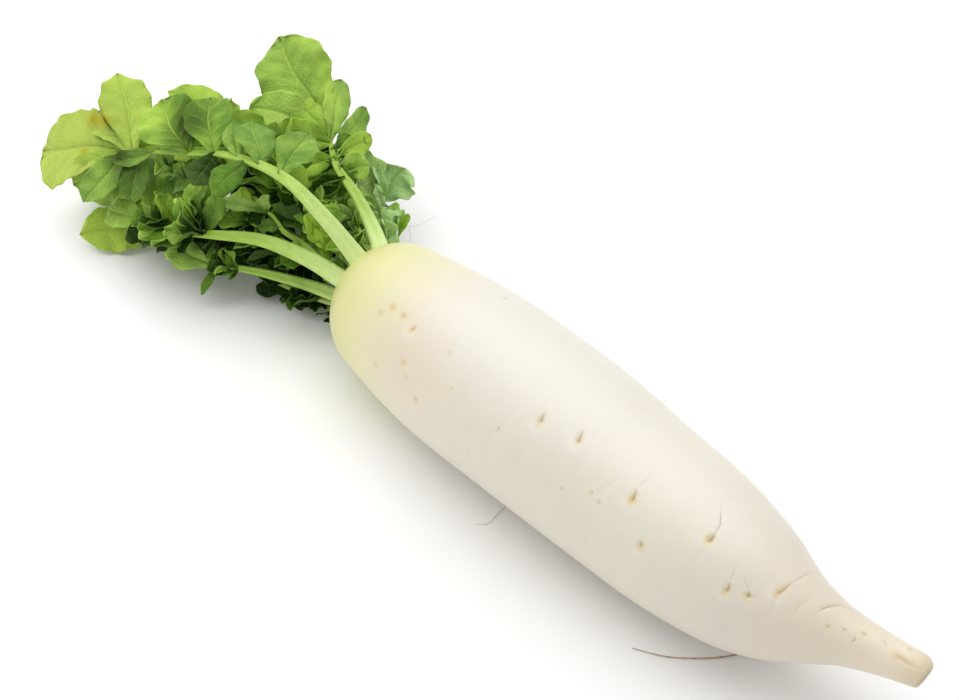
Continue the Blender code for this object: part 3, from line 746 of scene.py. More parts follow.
def blade_material(looks, name, upper):
    leaf = Recipe(name, 0.46 if upper else 0.6, 0.6, (0.0004, 0.0006, 0.0002), 0.09)
    middle, side, swelling = leaf_pattern(leaf)
    # The leaf's lightness carries its painted light and shade as well as its own green.
    tint = leaf.attribute("tint")
    patch = leaf.noise(60.0, 3.0)
    tone = (tint * 0.75 + patch.between(0.35, 0.7, 0.0, 0.35) * (tint * 1.3 + 0.2).clamped()).clamped()
    base = leaf.ramp(
        tone, [(0.0, looks.dark_colour), (0.5, looks.middle_colour), (1.0, looks.light_colour)]
    )
    web = leaf.node(
        "ShaderNodeTexVoronoi",
        {"feature": "DISTANCE_TO_EDGE"},
        {"Vector": leaf.place, "Scale": 420.0},
        output="Distance",
    )
    net = web.between(0.0, 0.16, 1.0, 0.0)
    base = leaf.mix(net * tint * 0.08, base, looks.vein_colour)
    # Painted sheen: a pale, dull green laid on the leaves where they are lit, kept out of their painted
    # shade.
    base = leaf.mix((leaf.attribute("grey") * tint * 1.3).clamped(), base, looks.painted_sheen_colour)
    base = leaf.mix(leaf.attribute("yellow").clamped(), base, looks.yellow_colour)
    base = leaf.mix(leaf.attribute("rust").clamped(), base, looks.rust_colour)
    if not upper:
        base = leaf.mix(0.35, base, looks.underside_colour)
    veins = (middle * 0.75 + side * 0.30).clamped() * leaf.attribute("veining") * (tint + 0.35).clamped()
    base = leaf.mix(veins, base, looks.vein_colour)
    crinkle = leaf.noise(330.0, 4.0, 0.6)
    relief = swelling * 0.5 + net * -0.25 + crinkle * 0.45 - middle * 0.4
    leaf.bump(relief if upper else relief * -1.0, 0.0009, 0.8)
    return leaf.paint(base, (0.34 if upper else 0.50) + crinkle * 0.18)


def stalk_material(looks):
    stalk = Recipe("leaf_stalk", 0.4, 0.35, (0.0035, 0.0045, 0.0012), 0.35)
    x, y, _ = stalk.axes(stalk.node("ShaderNodeUVMap", output="UV"))
    streak = stalk.noise(1.0, 3.0, 0.55, stalk.stretched((14.0, 420.0, 420.0)))
    tone = (y.between(0.0, 0.7, 0.0, 0.85) + streak.between(0.35, 0.75, 0.0, 0.4)).clamped()
    base = stalk.mix(tone, looks.stalk_colour, looks.stalk_far_colour)
    base = stalk.mix(y.between(0.0, 0.4, 0.85, 0.0), base, (0.72, 0.84, 0.44))
    stalk.bump(streak + stalk.noise(700.0, 2.0) * 0.3, 0.00035, 0.6)
    return stalk.paint(base, 0.34 + streak * 0.16)


def rootlet_material():
    hair = Recipe("rootlet", 0.6)
    base = hair.mix(hair.noise(300.0, 3.0).between(0.3, 0.7), (0.30, 0.19, 0.09), (0.50, 0.36, 0.20))
    base = hair.mix(hair.attribute("pale").clamped(), base, (0.80, 0.75, 0.66))
    hair.bump(hair.noise(2500.0, 2.0), 0.0001, 0.5)
    return hair.paint(base)


def floor_material(looks):
    floor = Recipe("floor_white", 0.7)
    return floor.paint(floor.mix(floor.noise(3.0, 2.0) * 0.02, looks.floor_colour, (0.90, 0.89, 0.87)))


# --- Building blocks --------------------------------------------------------------------------------
def select_only(*objects):
    bpy.ops.object.select_all(action="DESELECT")
    for obj in objects:
        obj.select_set(True)
    bpy.context.view_layer.objects.active = objects[0]


def points_of(obj):
    points = np.empty(len(obj.data.vertices) * 3)
    obj.data.vertices.foreach_get("co", points)
    return points.reshape(-1, 3)


def shape(obj, points):
    """Moves the object's points to these places, in metres."""
    obj.data.vertices.foreach_set("co", np.asarray(points, dtype=float).ravel())
    obj.data.update()


def give(obj, name, values):
    """Keeps a number at each point for the materials."""
    layer = obj.data.attributes.new(name, "FLOAT", "POINT")
    layer.data.foreach_set("value", np.broadcast_to(values, len(obj.data.vertices)).astype(np.float32))


def seat(piece, slot, *nodes):
    """Puts a finished piece into the frame on the root's body and hides the solids it stands for; slot is not
    used.
    """
    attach(piece, "root")
    if nodes:
        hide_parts(*nodes)


# --- The root's skin --------------------------------------------------------------------------------
def root_profile():
    """(x, radius) of the root's outline from the crown's middle to the tail's end."""
    reach = np.sin(np.linspace(0, 0.5 * math.pi * COARSE_CROWN / (COARSE_CROWN + 0.8), 120))
    body = np.linspace(PROFILE[0][0] + 6, PROFILE[-1][0], 600)
    turn = np.linspace(0, 0.5 * math.pi, 60)[1:]
    crown = CROWN_CENTRE_X - CROWN_RADIUS * (1 - reach**CROWN_BLUNTNESS) ** (1 / CROWN_BLUNTNESS)
    tail = PROFILE[-1][1] * np.maximum(np.cos(turn), 0) ** 0.8
    xs = np.concatenate([crown, body, PROFILE[-1][0] + TAIL_CAP * np.sin(turn)])
    return xs, np.concatenate([CROWN_RADIUS * reach, curve(PROFILE, body), tail])


def from_turn(turn, other):
    """How far round the root one turn is from another, from -180 to 180 degrees."""
    return (turn - other + 180) % 360 - 180


def near_path(x, turn, radius, path):
    """(distance to the right of a path on the skin in millimetres, share of the way along it)."""
    legs = []
    for (ax, at), (bx, bt) in zip(path, path[1:]):
        legs.append((bx - ax, math.radians(bt - at) * np.interp((ax + bx) / 2, *zip(*PROFILE))))
    total = sum(math.hypot(*leg) for leg in legs)
    gone = 0.0
    best = np.full(x.shape, 1e9)
    share = np.zeros(x.shape)
    for (ax, at), (dx, dt) in zip(path, legs):
        leg = math.hypot(dx, dt)
        px, pt = x - ax, np.radians(from_turn(turn, at)) * radius
        t = np.clip((px * dx + pt * dt) / leg**2, 0, 1)
        distance = np.hypot(px - t * dx, pt - t * dt)
        closer = distance < np.abs(best)
        best = np.where(closer, distance * np.where(px * dt > pt * dx, 1, -1), best)
        share = np.where(closer, (gone + t * leg) / total, share)
        gone += leg
    return best, share


# A mark on the skin: the (x, turn in degrees) it runs through, its half-width and depth, how ochre it is
# where it begins and how dark all along, a dark brown of the scar with painted shade in its groove. The turn
# is 0 on the -Y side, 90 on top and 180 on the +Y side.
Mark = namedtuple("Mark", "path width depth ochre dark")

MARKS = [
    Mark([(26, 52), (25.8, 55), (24.6, 61)], 0.55, 0.8, 0.7, 0.6),
    Mark([(44, 57), (43.4, 60), (42, 67)], 0.55, 0.8, 0.45, 0.9),
    Mark([(80, 50), (79.4, 54), (78, 59)], 0.6, 0.9, 0.95, 0.75),
    Mark([(78, 59), (79, 66), (78, 79)], 0.28, 0.3, 0.0, 0.55),
    Mark([(94, 29), (93.6, 31), (93, 34)], 0.6, 0.6, 0.8, 0.7),
    Mark([(116, 61), (116.4, 65), (116, 71)], 0.6, 1.0, 0.85, 0.95),
    Mark([(116, 70), (115, 77), (108, 91)], 0.34, 0.4, 0.0, 0.85),
    Mark([(116, 57), (117, 44), (118, 32)], 0.3, 0.25, 0.0, 0.25),
    Mark([(132, 37), (132.3, 41), (131.6, 47)], 0.55, 0.8, 0.75, 0.85),
    Mark([(131.6, 47), (131, 54), (130, 62)], 0.3, 0.3, 0.0, 0.5),
    Mark([(131, 34), (129, 24), (128, 16)], 0.3, 0.25, 0.0, 0.25),
    Mark([(139, 43), (139.2, 46), (138.6, 49)], 0.65, 0.9, 0.7, 0.95),
    Mark([(138.6, 49), (136.5, 53), (134, 58)], 0.28, 0.3, 0.0, 0.6),
    Mark([(146.6, 60), (147.6, 68), (149, 84)], 0.45, 0.6, 0.8, 0.75),
    Mark([(149, 84), (150, 98), (152, 120)], 0.35, 0.4, 0.0, 0.6),
    Mark([(147, 60), (147.5, 45), (147, 31)], 0.3, 0.25, 0.0, 0.3),
    Mark([(8, 16), (14, 45), (12, 63)], 0.3, 0.16, 0.0, 0.3),
    Mark([(26, 21), (27, 32), (26, 42)], 0.3, 0.18, 0.0, 0.3),
    Mark([(65, 37), (66, 50), (64, 64)], 0.3, 0.2, 0.0, 0.35),
    Mark([(67, 42), (68, 54), (66, 66)], 0.3, 0.18, 0.0, 0.3),
    Mark([(61, 40), (62, 50), (60.5, 60)], 0.3, 0.18, 0.0, 0.25),
    Mark([(44, 22), (45, 28), (44, 34)], 0.3, 0.16, 0.0, 0.3),
    Mark([(64, 20), (65.5, 29), (65, 37)], 0.3, 0.18, 0.0, 0.3),
    Mark([(161, 70), (163.6, 87), (167, 108), (171, 113)], 0.36, 0.5, 0.1, 0.75),
    Mark([(154, 50), (155, 66), (157, 84)], 0.3, 0.3, 0.0, 0.4),
    Mark([(166, 52), (166.5, 56), (166, 61)], 0.4, 0.35, 0.3, 0.7),
    Mark([(176, 46), (177, 53), (176, 62)], 0.4, 0.35, 0.1, 0.7),
    Mark([(188, 74), (187, 84), (186, 94)], 0.35, 0.3, 0.3, 0.6),
    Mark([(181, 22), (181.5, 34), (181, 45)], 0.3, 0.25, 0.0, 0.4),
    Mark([(193, 62), (198, 54), (203, 56)], 0.7, 0.5, 0.5, 0.2),
    Mark([(-51.6, 50), (-51.2, 52), (-50.6, 55)], 0.45, 0.6, 0.9, 0.7),
]
# Small round scars: (x, turn, size, how ochre, how dark).
DOTS = [
    (-68, 55, 2.0, 0.9, 0.0), (-72, 47, 1.7, 0.6, 0.0), (-60, 55, 1.8, 0.9, 0.05), (-47, 30, 1.4, 0.8, 0.1),
    (-43, 23, 1.2, 0.6, 0.1), (-34, 14, 1.4, 0.9, 0.2), (-63, 13, 1.3, 0.6, 0.1), (-28, 53, 1.2, 0.4, 0.1),
    (-18, 36, 1.1, 0.4, 0.1), (-34, 111, 0.9, 0.2, 0.8), (12, 34, 0.8, 0.2, 0.7), (50, 29, 0.8, 0.2, 0.7),
    (68, 37, 0.8, 0.2, 0.7), (63, 39, 0.9, 0.5, 0.5), (172, 63, 0.8, 0.2, 0.8), (179, 74, 1.1, 0.7, 0.3),
    (196, 102, 0.9, 0.5, 0.5), (80, 50, 1.5, 0.9, 0.0), (94, 30, 1.3, 0.8, 0.0), (116, 62, 1.6, 0.9, 0.0),
    (132, 38, 1.2, 0.7, 0.0), (139, 44, 1.2, 0.7, 0.0), (26, 54, 1.1, 0.6, 0.0), (44, 59, 1.1, 0.6, 0.0),
]


FAR_ROWS = (165, 235, 300)  # turns of the rows of scars on the sides that face away
FAR_SEED = 7
WRINKLES = 40
WRINKLE_SEED = 19
# The slanted end of the tail: which way it faces, how much it cuts off, how round its edge is and how far
# it is worn.
END_FACING = np.array([0.913, 0.195, -0.360])
END_CUT = 1.6
END_ROUNDING = 0.4
END_WORN = 2.6


def far_marks():
    """Scars and creases of the same kind on the sides that face away, in loose rows."""
    draw = random.Random(FAR_SEED)
    marks = []
    for row in FAR_ROWS:
        x = -70 + draw.uniform(0, 20)
        while x < 185:
            turn = row + draw.uniform(-22, 22)
            span = draw.uniform(4, 11)
            lean = draw.uniform(-1.5, 1.5)
            deep = draw.uniform(0.4, 1.0) * min(1.0, max(0.35, (x + 90) / 130))
            path = [(x, turn), (x + lean * 0.4, turn + span / 2), (x + lean, turn + span)]
            look = draw.uniform(0.4, 0.6), deep, draw.uniform(0.3, 0.8), draw.uniform(0.5, 0.9)
            marks.append(Mark(path, *look))
            if draw.random() < 0.6:
                reach = turn + span + draw.uniform(10, 26)
                faint = [(x + lean, turn + span), (x + draw.uniform(-2, 2), reach)]
                marks.append(Mark(faint, 0.3, 0.25, 0.0, 0.35))
            x += draw.uniform(14, 34)
    return marks


def near_spot(x, turn, radius, spot, wide, high):
    """A round bump of height 1 about a spot (x, turn) of the skin, in millimetres wide and high."""
    off_x = (x - spot[0]) / wide
    off_t = np.radians(from_turn(turn, spot[1])) * radius / high
    return np.exp(-(off_x**2 + off_t**2))


def wrinkles(x, turn):
    """(depth in millimetres, painted shade) of each of the fine rings that run part of the way round the
    root.
    """
    draw = random.Random(WRINKLE_SEED)
    for _ in range(WRINKLES):
        at, centre, wide = draw.uniform(20, 198), draw.uniform(0, 360), draw.uniform(18, 60)
        tilt, deep = draw.uniform(-0.05, 0.05), draw.uniform(0.03, 0.10)
        off = from_turn(turn, centre)
        line = np.exp(-(((x - at - tilt * off) / draw.uniform(0.6, 1.2)) ** 2)) * np.exp(-((off / wide) ** 4))
        pressed = line * deep * (1 + 1.2 * (at > 150)) * (0.5 if at < 40 else 0.7)
        yield pressed, line * deep * (0.3 if at < 40 else 0.6)


def skin_relief(looks, x, turn, radius):
    """What the marks and wrinkles do to the skin: its depth in mm, and maps for its material, some of painted
    shade.
    """
    depth, ochre, dark, lip, slit = (np.zeros(x.shape) for _ in range(5))
    nearest, aside = np.full(x.shape, 6.0), np.full(x.shape, 20.0)
    for mark in MARKS + far_marks():
        distance, share = near_path(x, turn, radius, mark.path)
        taper = np.clip(np.minimum(share * 8, (1 - share) * 1.6) + 0.08, 0, 1)
        pressed = np.exp(-((distance / (mark.width + 0.4)) ** 2)) * taper
        depth += pressed * mark.depth * looks.scar_depth * PER_METRE
        closer = np.abs(distance) < nearest
        nearest = np.where(closer, np.abs(distance), nearest)
        aside = np.where(closer, distance / (mark.width * (0.35 + 0.65 * taper)), aside)
        faint = 1.0 if mark.depth > 0.3 else 0.55
        # Darkness along the slit: the dark brown of the scar and painted shade in its groove.
        slit = np.where(closer, mark.dark * faint * taper**0.5 * np.exp(-((distance / 2.5) ** 2)), slit)
        low = np.exp(-((distance / (mark.width * 3.0)) ** 2)) * np.clip(1.3 - 1.3 * share, 0, 1)
        ochre = np.maximum(ochre, low * mark.ochre)
        if mark.depth > 0.5:
            at, begins = mark.path[0]
            # The skin swells where each deeper slit begins, and that swelling is painted paler as a
            # highlight.
            swell = near_spot(x, turn, radius, (at, begins - 4), 3.2, 2.4)
            depth -= swell * 0.35
            lip = np.maximum(lip, swell * 0.8)
    for at, begins, size, tone, black in DOTS:
        core = near_spot(x, turn, radius, (at, begins), size, size * 0.8)
        depth += core * 0.3
        ochre = np.maximum(ochre, core * tone)
        dark = np.maximum(dark, core * black * 0.8)
    # Painted shade along the fine creases.
    for deep, shadow in wrinkles(x, turn):
        depth += deep
        dark = np.maximum(dark, shadow)
    return depth, {"ochre": ochre, "shade": dark, "lip": lip, "aside": aside, "slit": slit}


def square_to(ahead, facing):
    """across, for rows of directions of any length."""
    ahead = ahead / np.linalg.norm(ahead, axis=-1, keepdims=True)
    side = np.cross(ahead, np.array(facing))
    side /= np.linalg.norm(side, axis=-1, keepdims=True)
    return side, np.cross(side, ahead)


def root_surface(x, radius, turn):
    """Points of the skin at each x, radius and turn in degrees, in millimetres."""
    rad = np.radians(turn)
    reach = radius * (1 + 0.010 * np.sin(2 * rad + x / 60) + 0.006 * np.sin(3 * rad - x / 37 + 1))
    paths = SIDEWAYS, HEIGHT
    centre = np.stack([x, *(curve(path, x) for path in paths)], -1)
    ahead = np.stack([np.ones_like(x), *(curve(path, x + 1) - curve(path, x) for path in paths)], -1)
    side, up = square_to(ahead, UP)
    return centre + side * (reach * np.cos(rad))[..., None] + up * (reach * np.sin(rad))[..., None]


def broken_end(points):
    """The root's end, cut off flat at a slant, and how worn it is there."""
    beyond = points @ END_FACING
    beyond = beyond - beyond.max() + END_CUT
    worn = np.clip((beyond + END_WORN) / END_WORN, 0, 1) ** 1.5 * (points[:, 0] > 150)
    cut = END_ROUNDING * np.logaddexp(0, beyond / END_ROUNDING)
    return points - (cut * 0.85)[:, None] * END_FACING, worn


def make_skin(looks):
    """The root: a round ball of cells drawn out to the root's form, with its scars pressed in."""
    bpy.ops.object.select_all(action="DESELECT")
    bpy.ops.mesh.primitive_uv_sphere_add(segments=ROOT_AROUND, ring_count=ROOT_ALONG, radius=1.0)
    root = bpy.context.active_object
    root.name = "radish_root"
    ball = points_of(root)
    share = np.arccos(np.clip(ball[:, 2], -1, 1)) / math.pi
    turn = np.degrees(np.arctan2(ball[:, 1], ball[:, 0])) % 360
    turn = (turn - 26 * np.sin(np.radians(turn - 60))) % 360  # finer cells where most marks are
    xs, radii = root_profile()
    lengths = np.concatenate([[0], np.cumsum(np.hypot(np.diff(xs), np.diff(radii)))])
    at = share * lengths[-1]
    x, radius = np.interp(at, lengths, xs), np.interp(at, lengths, radii)
    depth, maps = skin_relief(looks, x, turn, np.maximum(radius, 1.0))
    depth *= np.clip(radius / 4.0, 0, 1)
    points, maps["worn"] = broken_end(root_surface(x, np.maximum(radius - depth, 0.0), turn))
    points[:, 2] = np.maximum(points[:, 2], 0.0)
    shape(root, points * MM)
    maps["blush"] = np.exp(-(((x + 50) / 24) ** 2) - (from_turn(turn, 30) / 34) ** 2)
    for name, values in maps.items():
        give(root, name, values)
    select_only(root)
    bpy.ops.object.shade_smooth()
    root.data.materials.append(skin_material(looks))
    seat(root, "root", "root")


# --- The leaves -------------------------------------------------------------------------------------
def make_grid(columns, rows):
    """(object, across, along): a flat grid, and where its points lie in it, both from -1 to 1."""
    bpy.ops.object.select_all(action="DESELECT")
    bpy.ops.mesh.primitive_grid_add(x_subdivisions=columns, y_subdivisions=rows, size=2.0, calc_uvs=True)
    sheet = bpy.context.active_object
    return sheet, *points_of(sheet).T[:2]


def roll_up(columns, rows, route, facing, section):
    """(object, points) of a grid rolled into a tube along a route, as wide and high as section says."""
    tube, x, y = make_grid(columns, rows)
    turn, share = (x + 1) * math.pi, (y + 1) / 2
    row = np.rint(share * (len(route) - 1)).astype(int)
    side, up = square_to(np.gradient(route, axis=0), facing)
    sideways, upwards = section(share, turn)
    return tube, route[row] + side[row] * sideways[:, None] + up[row] * upwards[:, None]


def close_tube(tube, weld):
    """Joins the long edges of a rolled grid and puts a face on each end."""
    select_only(tube)
    bpy.ops.object.mode_set(mode="EDIT")
    bpy.ops.mesh.select_all(action="SELECT")
    bpy.ops.mesh.remove_doubles(threshold=weld)
    bpy.ops.mesh.select_all(action="DESELECT")
    bpy.ops.mesh.select_non_manifold()
    bpy.ops.mesh.edge_face_add()
    bpy.ops.mesh.select_all(action="SELECT")
    bpy.ops.mesh.normals_make_consistent(inside=False)
    bpy.ops.object.mode_set(mode="OBJECT")


def blade_points(lobe, y, x, habit, teeth, torn):
    """Points over a lobe's blade in millimetres: y runs 0 to 1 from base to tip, x -1 to 1 across it."""
    draw = random.Random(habit)
    length, chord, side, up, bend, radius = lobe_arc(lobe)
    fold = math.radians(lobe.fold)
    turn = (y - 0.5) * bend
    chord, side, up, base = (np.array(v) for v in (chord, side, up, lobe.base))
    middle = base + chord * (length / 2 + radius * np.sin(turn))[:, None]
    middle = middle + up * (radius * (np.cos(turn) - math.cos(bend / 2)))[:, None]
    normal = chord * np.sin(turn)[:, None] + up * np.cos(turn)[:, None]
    ahead = chord * np.cos(turn)[:, None] - up * np.sin(turn)[:, None]
    broad = np.where(
        y < WIDEST,
        NECK + (1 - NECK) * (0.5 - 0.5 * np.cos(math.pi * y / WIDEST)) ** 0.7,
        np.sqrt(np.maximum(0, 1 - ((y - WIDEST) / (1 - WIDEST)) ** 2)),
    )
    half = np.maximum(0.25, lobe.width / 2 * broad)
    hand = np.where(x > 0, HAND_SHIFT, 0)
    wide = np.abs(x)
    wave = np.sin(2 * math.pi * lobe.waves * y + lobe.phase + hand)
    body = 1 - y**5  # the tip stays round
    past_base = np.clip(y * 3, 0, 1)
    cut = 1 + 0.5 * SCALLOP_DEPTH * wide * np.cos(4 * math.pi * lobe.waves * y + lobe.phase + hand) * body
    count = max(4.0, length / TOOTH_EVERY) * draw.uniform(0.85, 1.15)
    small = min(1.0, 18 / lobe.width)  # broad lobes have a smoother edge
    teeth, torn = teeth * small, torn * small
    notch = np.abs(np.sin(math.pi * count * y + hand * 1.7 + lobe.phase)) ** 0.7
    cut += teeth * wide**3 * (notch - 0.75) * past_base * (0.4 + 0.6 * body)
    gash = np.sin(math.pi * (1.1 + draw.random()) * y + hand * 1.4 + draw.uniform(0, 6)) ** 4
    cut -= torn * wide**2 * gash * past_base
    cut += 0.05 * small * wide**2 * np.sin(math.pi * 2.3 * y + hand * 2.1 + draw.uniform(0, 6)) * body
    rise = half * wide * math.sin(fold) + lobe.ruffle * wide**1.5 * wave * broad
    frill = np.sin(2 * math.pi * count * 0.42 * y + hand + draw.uniform(0, 6))
    frill = (0.03 * small + 0.2 * torn) * lobe.width * wide**2.2 * frill
    droop = draw.uniform(-0.12, 0.20) * half * wide**2.5
    phase = ribs_of(lobe) * (y - wide * RIB_SLANT + wide * wide * RIB_CURL)
    quilt = np.sin(math.pi * (phase % 1.0)) * 0.028 * lobe.width * (1 - wide**3) * np.clip(wide * 6, 0, 1)
    seam = -0.35 * np.exp(-((wide * half / 0.8) ** 2)) * np.clip((1 - y) * 2, 0, 1)
    lift = rise + frill - droop + quilt + seam
    twist = math.radians(draw.uniform(-14, 14)) * (y - 0.1)
    flat = half * cut * x * math.cos(fold)
    flat, lift = flat * np.cos(twist) - lift * np.sin(twist), flat * np.sin(twist) + lift * np.cos(twist)
    sway = 0.05 * lobe.width * np.sin(math.pi * 1.4 * y + draw.uniform(0, 6)) * np.clip(y * 2, 0, 1)
    points = middle + side * (flat + sway)[:, None] + normal * lift[:, None]
    round_tip = 0.045 * length * (wide**2) * np.clip((y - 0.75) * 4, 0, 1)
    return points - ahead * round_tip[:, None]


def ribs_of(lobe):
    """How many side veins leave each side of the midrib."""
    return 6.0 if lobe.width > 30 else 5.0 if lobe.width > 18 else 4.0


def hollow_shade_at(points):
    """How much painted shade each point gets from the tuft's dark hollows, as seen from the shown side."""
    hollow = np.zeros(len(points))
    line = np.array(SHOWN.normalized())
    for centre, reach, dark in PAINTED_HOLLOW_SHADE:
        off = points - np.array(centre)
        nearer = off @ line
        aside = np.linalg.norm(off - nearer[:, None] * line, axis=1)
        hollow = np.maximum(hollow, dark * np.exp(-((aside / reach) ** 2) - (nearer / HOLLOW_DEPTH) ** 2))
    return hollow


def in_spots(points):
    """How far inside the old spots each point lies, as seen from the shown side."""
    rust = np.zeros(len(points))
    for centre, reach in SPOTS:
        aside = np.cross(points - np.array(centre), SHOWN.normalized())
        rust = np.maximum(rust, np.exp(-((np.linalg.norm(aside, axis=1) / reach) ** 2)))
    return rust


def make_blade(looks, lobe, habit, tint, torn):
    """One lobe: a flat grid bent to its place, with the maps of its material."""
    cells = next(cells for least, *cells in BLADE_CELLS if lobe.width > least)
    blade, across_it, along_it = make_grid(*cells)
    x = np.sign(across_it) * np.abs(across_it) ** 1.15
    y = np.clip(np.sin(0.25 * math.pi * (along_it + 1)) ** 1.1, 0, 1)
    points = blade_points(lobe, y, x, habit, looks.tooth_depth, torn)
    points[:, 2] = np.maximum(points[:, 2], LEAST_BLADE_HEIGHT)
    shape(blade, points * MM)
    # Painted shade: one half of the lobe lighter than the other as a folded leaf is lit, darker towards its
    # base, darker still in the hollows.
    lean = random.Random(habit + 1).uniform(-0.16, 0.16)
    tones = tint + lean * x - (0.5 if torn > 0.2 else 0.15) * (1 - y) ** 2
    give(blade, "tint", np.clip(tones - hollow_shade_at(points), 0, 1.3))
    give(blade, "rust", in_spots(points) if lobe.tip.x < -265 else 0.0)
    give(blade, "ribs", ribs_of(lobe))
    give(blade, "veining", min(1.0, max(0.25, (lobe.width - 8) / 14)))
    corner = np.empty(len(blade.data.loops), dtype=int)
    blade.data.loops.foreach_get("vertex_index", corner)
    chart = np.stack([(x[corner] + 1) / 2, y[corner]], -1)
    blade.data.uv_layers.active.data.foreach_set("uv", chart.ravel())
    return blade


def make_stalk(leaf):
    """The stalk and midrib: a tube that tapers, with a channel along its upper side."""

    def section(share, turn):
        half = stalk_width(leaf, share) * np.clip((1 - share) * 14 + 0.25, 0, 1)
        height = np.sin(turn)
        channel = 1 - 0.55 * np.exp(-((np.cos(turn) / 0.42) ** 2)) * (height > 0)
        depth = np.where(height > 0, STALK_RISE * channel, STALK_SAG) * (1 + 0.03 * np.sin(7 * turn))
        return half * np.cos(turn), half * depth * height

    middle = np.array(route_points(leaf.route, STALK_STATIONS))
    stalk, points = roll_up(*STALK_CELLS, middle, leaf.facing, section)
    shape(stalk, points * MM)
    for name in ("tint", "yellow", "grey", "rust", "ribs", "veining"):
        give(stalk, name, 4.0 if name == "ribs" else 0.0)
    close_tube(stalk, 0.000002)
    return stalk


def extra_lobes(leaf, crowd, others, own, bare):
    """Small folded leaflets that crowd the inside of the tuft, each kept where it is clear of the rest."""
    draw = random.Random(leaf.seed * 13 + 5)
    found = []
    for _ in range(crowd.tries):
        point, direction, side, up = midrib_at(leaf, draw.uniform(crowd.first, 0.98))
        sweep = math.radians(draw.uniform(-10, 70))
        lift = math.radians(draw.uniform(*crowd.lift))
        flat = side * draw.choice((-1, 1)) * math.cos(sweep) + direction * math.sin(sweep)
        outward = flat * math.cos(lift) + up * math.sin(lift)
        length = draw.uniform(*crowd.length)
        width = length * draw.uniform(0.38, 0.75)
        facing = (up + Vector([draw.uniform(-0.8, 0.8) for _ in range(3)])).normalized()
        bend, fold = draw.uniform(-70, 80), draw.uniform(5, 60)
        ruffle, waves, phase = draw.uniform(0.04, 0.16) * width, draw.uniform(1.0, 2.6), draw.uniform(0, 6.28)
        lobe = Lobe(point, point + outward * length, facing, width, bend, fold, ruffle, waves, phase)
        if fits(lobe, others) and not straggles(lobe, bare):
            found.append(lobe)
            own.append(tree_of(lobe_mesh(lobe)))
    return found


# Thin young leaves inside the tuft that have no solid of their own.
SHOOTS = [
    Leaf(
        name="shoot_near", facing=VIEWER, stalk=2.6, taper=1.0, seed=61,
        pairs=3, first=0.62, length=11, lift=10, bend=20,
        route=[
            (-106, -1, 36), (-125, -5, 38), (-153, -6, 43), (-162, -10, 47), (-173, -9, 50),
            (-183, -11, 50),
        ],
        placed=[Placed(0.9, (-197, -22, 51), 8, (0.2, -0.2, 1), 20)],
        end=Placed(1.0, (-196, -6, 52), 11, VIEWER, 40),
    ),
    Leaf(
        name="shoot_ridge", facing=VIEWER, stalk=2.4, taper=0.8, seed=67,
        pairs=3, first=0.74, length=13, lift=0, bend=30,
        route=[
            (-106, 1, 34), (-150, 0, 37), (-185, -8, 41), (-212, -20, 48), (-224, -25, 53), (-236, -30, 54),
        ],
        placed=[
            Placed(0.86, (-226, -36, 42), 16, (0.3, -0.9, 0.3), 30),
            Placed(0.95, (-248, -30, 50), 12, (0.3, -0.6, 0.6), -20),
        ],
        end=Placed(1.0, (-246, -40, 44), 14, VIEWER, -30),
    ),
    Leaf(
        name="shoot_core", facing=VIEWER, stalk=2.4, taper=0.8, seed=83,
        pairs=3, first=0.5, length=10, lift=10, bend=20,
        route=[(-106, 9, 39), (-125, 14, 39), (-140, 19, 39), (-152, 24, 40), (-168, 29, 42)],
        placed=[Placed(0.55, (-145, 11, 45), 6, VIEWER, 20), Placed(0.8, (-160, 16, 48), 8, VIEWER, 30)],
        end=Placed(1.0, (-180, 34, 46), 10, VIEWER, 30),
    ),
    Leaf(
        name="shoot_small", facing=VIEWER, stalk=0.7, taper=0.5, seed=89,
        route=[(-106, 14, 33), (-122, 24, 32), (-132, 32, 32), (-138, 39, 34)],
        end=Placed(1.0, (-143, 49, 38), 4.5, VIEWER, 50),
    ),
    Leaf(
        name="shoot_rear", facing=UP, stalk=2.4, taper=0.8, seed=71,
        pairs=4, first=0.4, length=18, lift=16, bend=30,
        route=[(-106, 8, 34), (-125, 14, 31), (-150, 24, 27), (-175, 36, 25), (-195, 44, 24)],
        placed=[
            Placed(0.3, (-151, 50, 27), 7, VIEWER, 30), Placed(0.55, (-176, 20, 34), 14, VIEWER, 20),
            Placed(0.75, (-196, 30, 36), 16, VIEWER, 20),
        ],
        end=Placed(1.0, (-215, 50, 26), 16, VIEWER, 30),
    ),
]

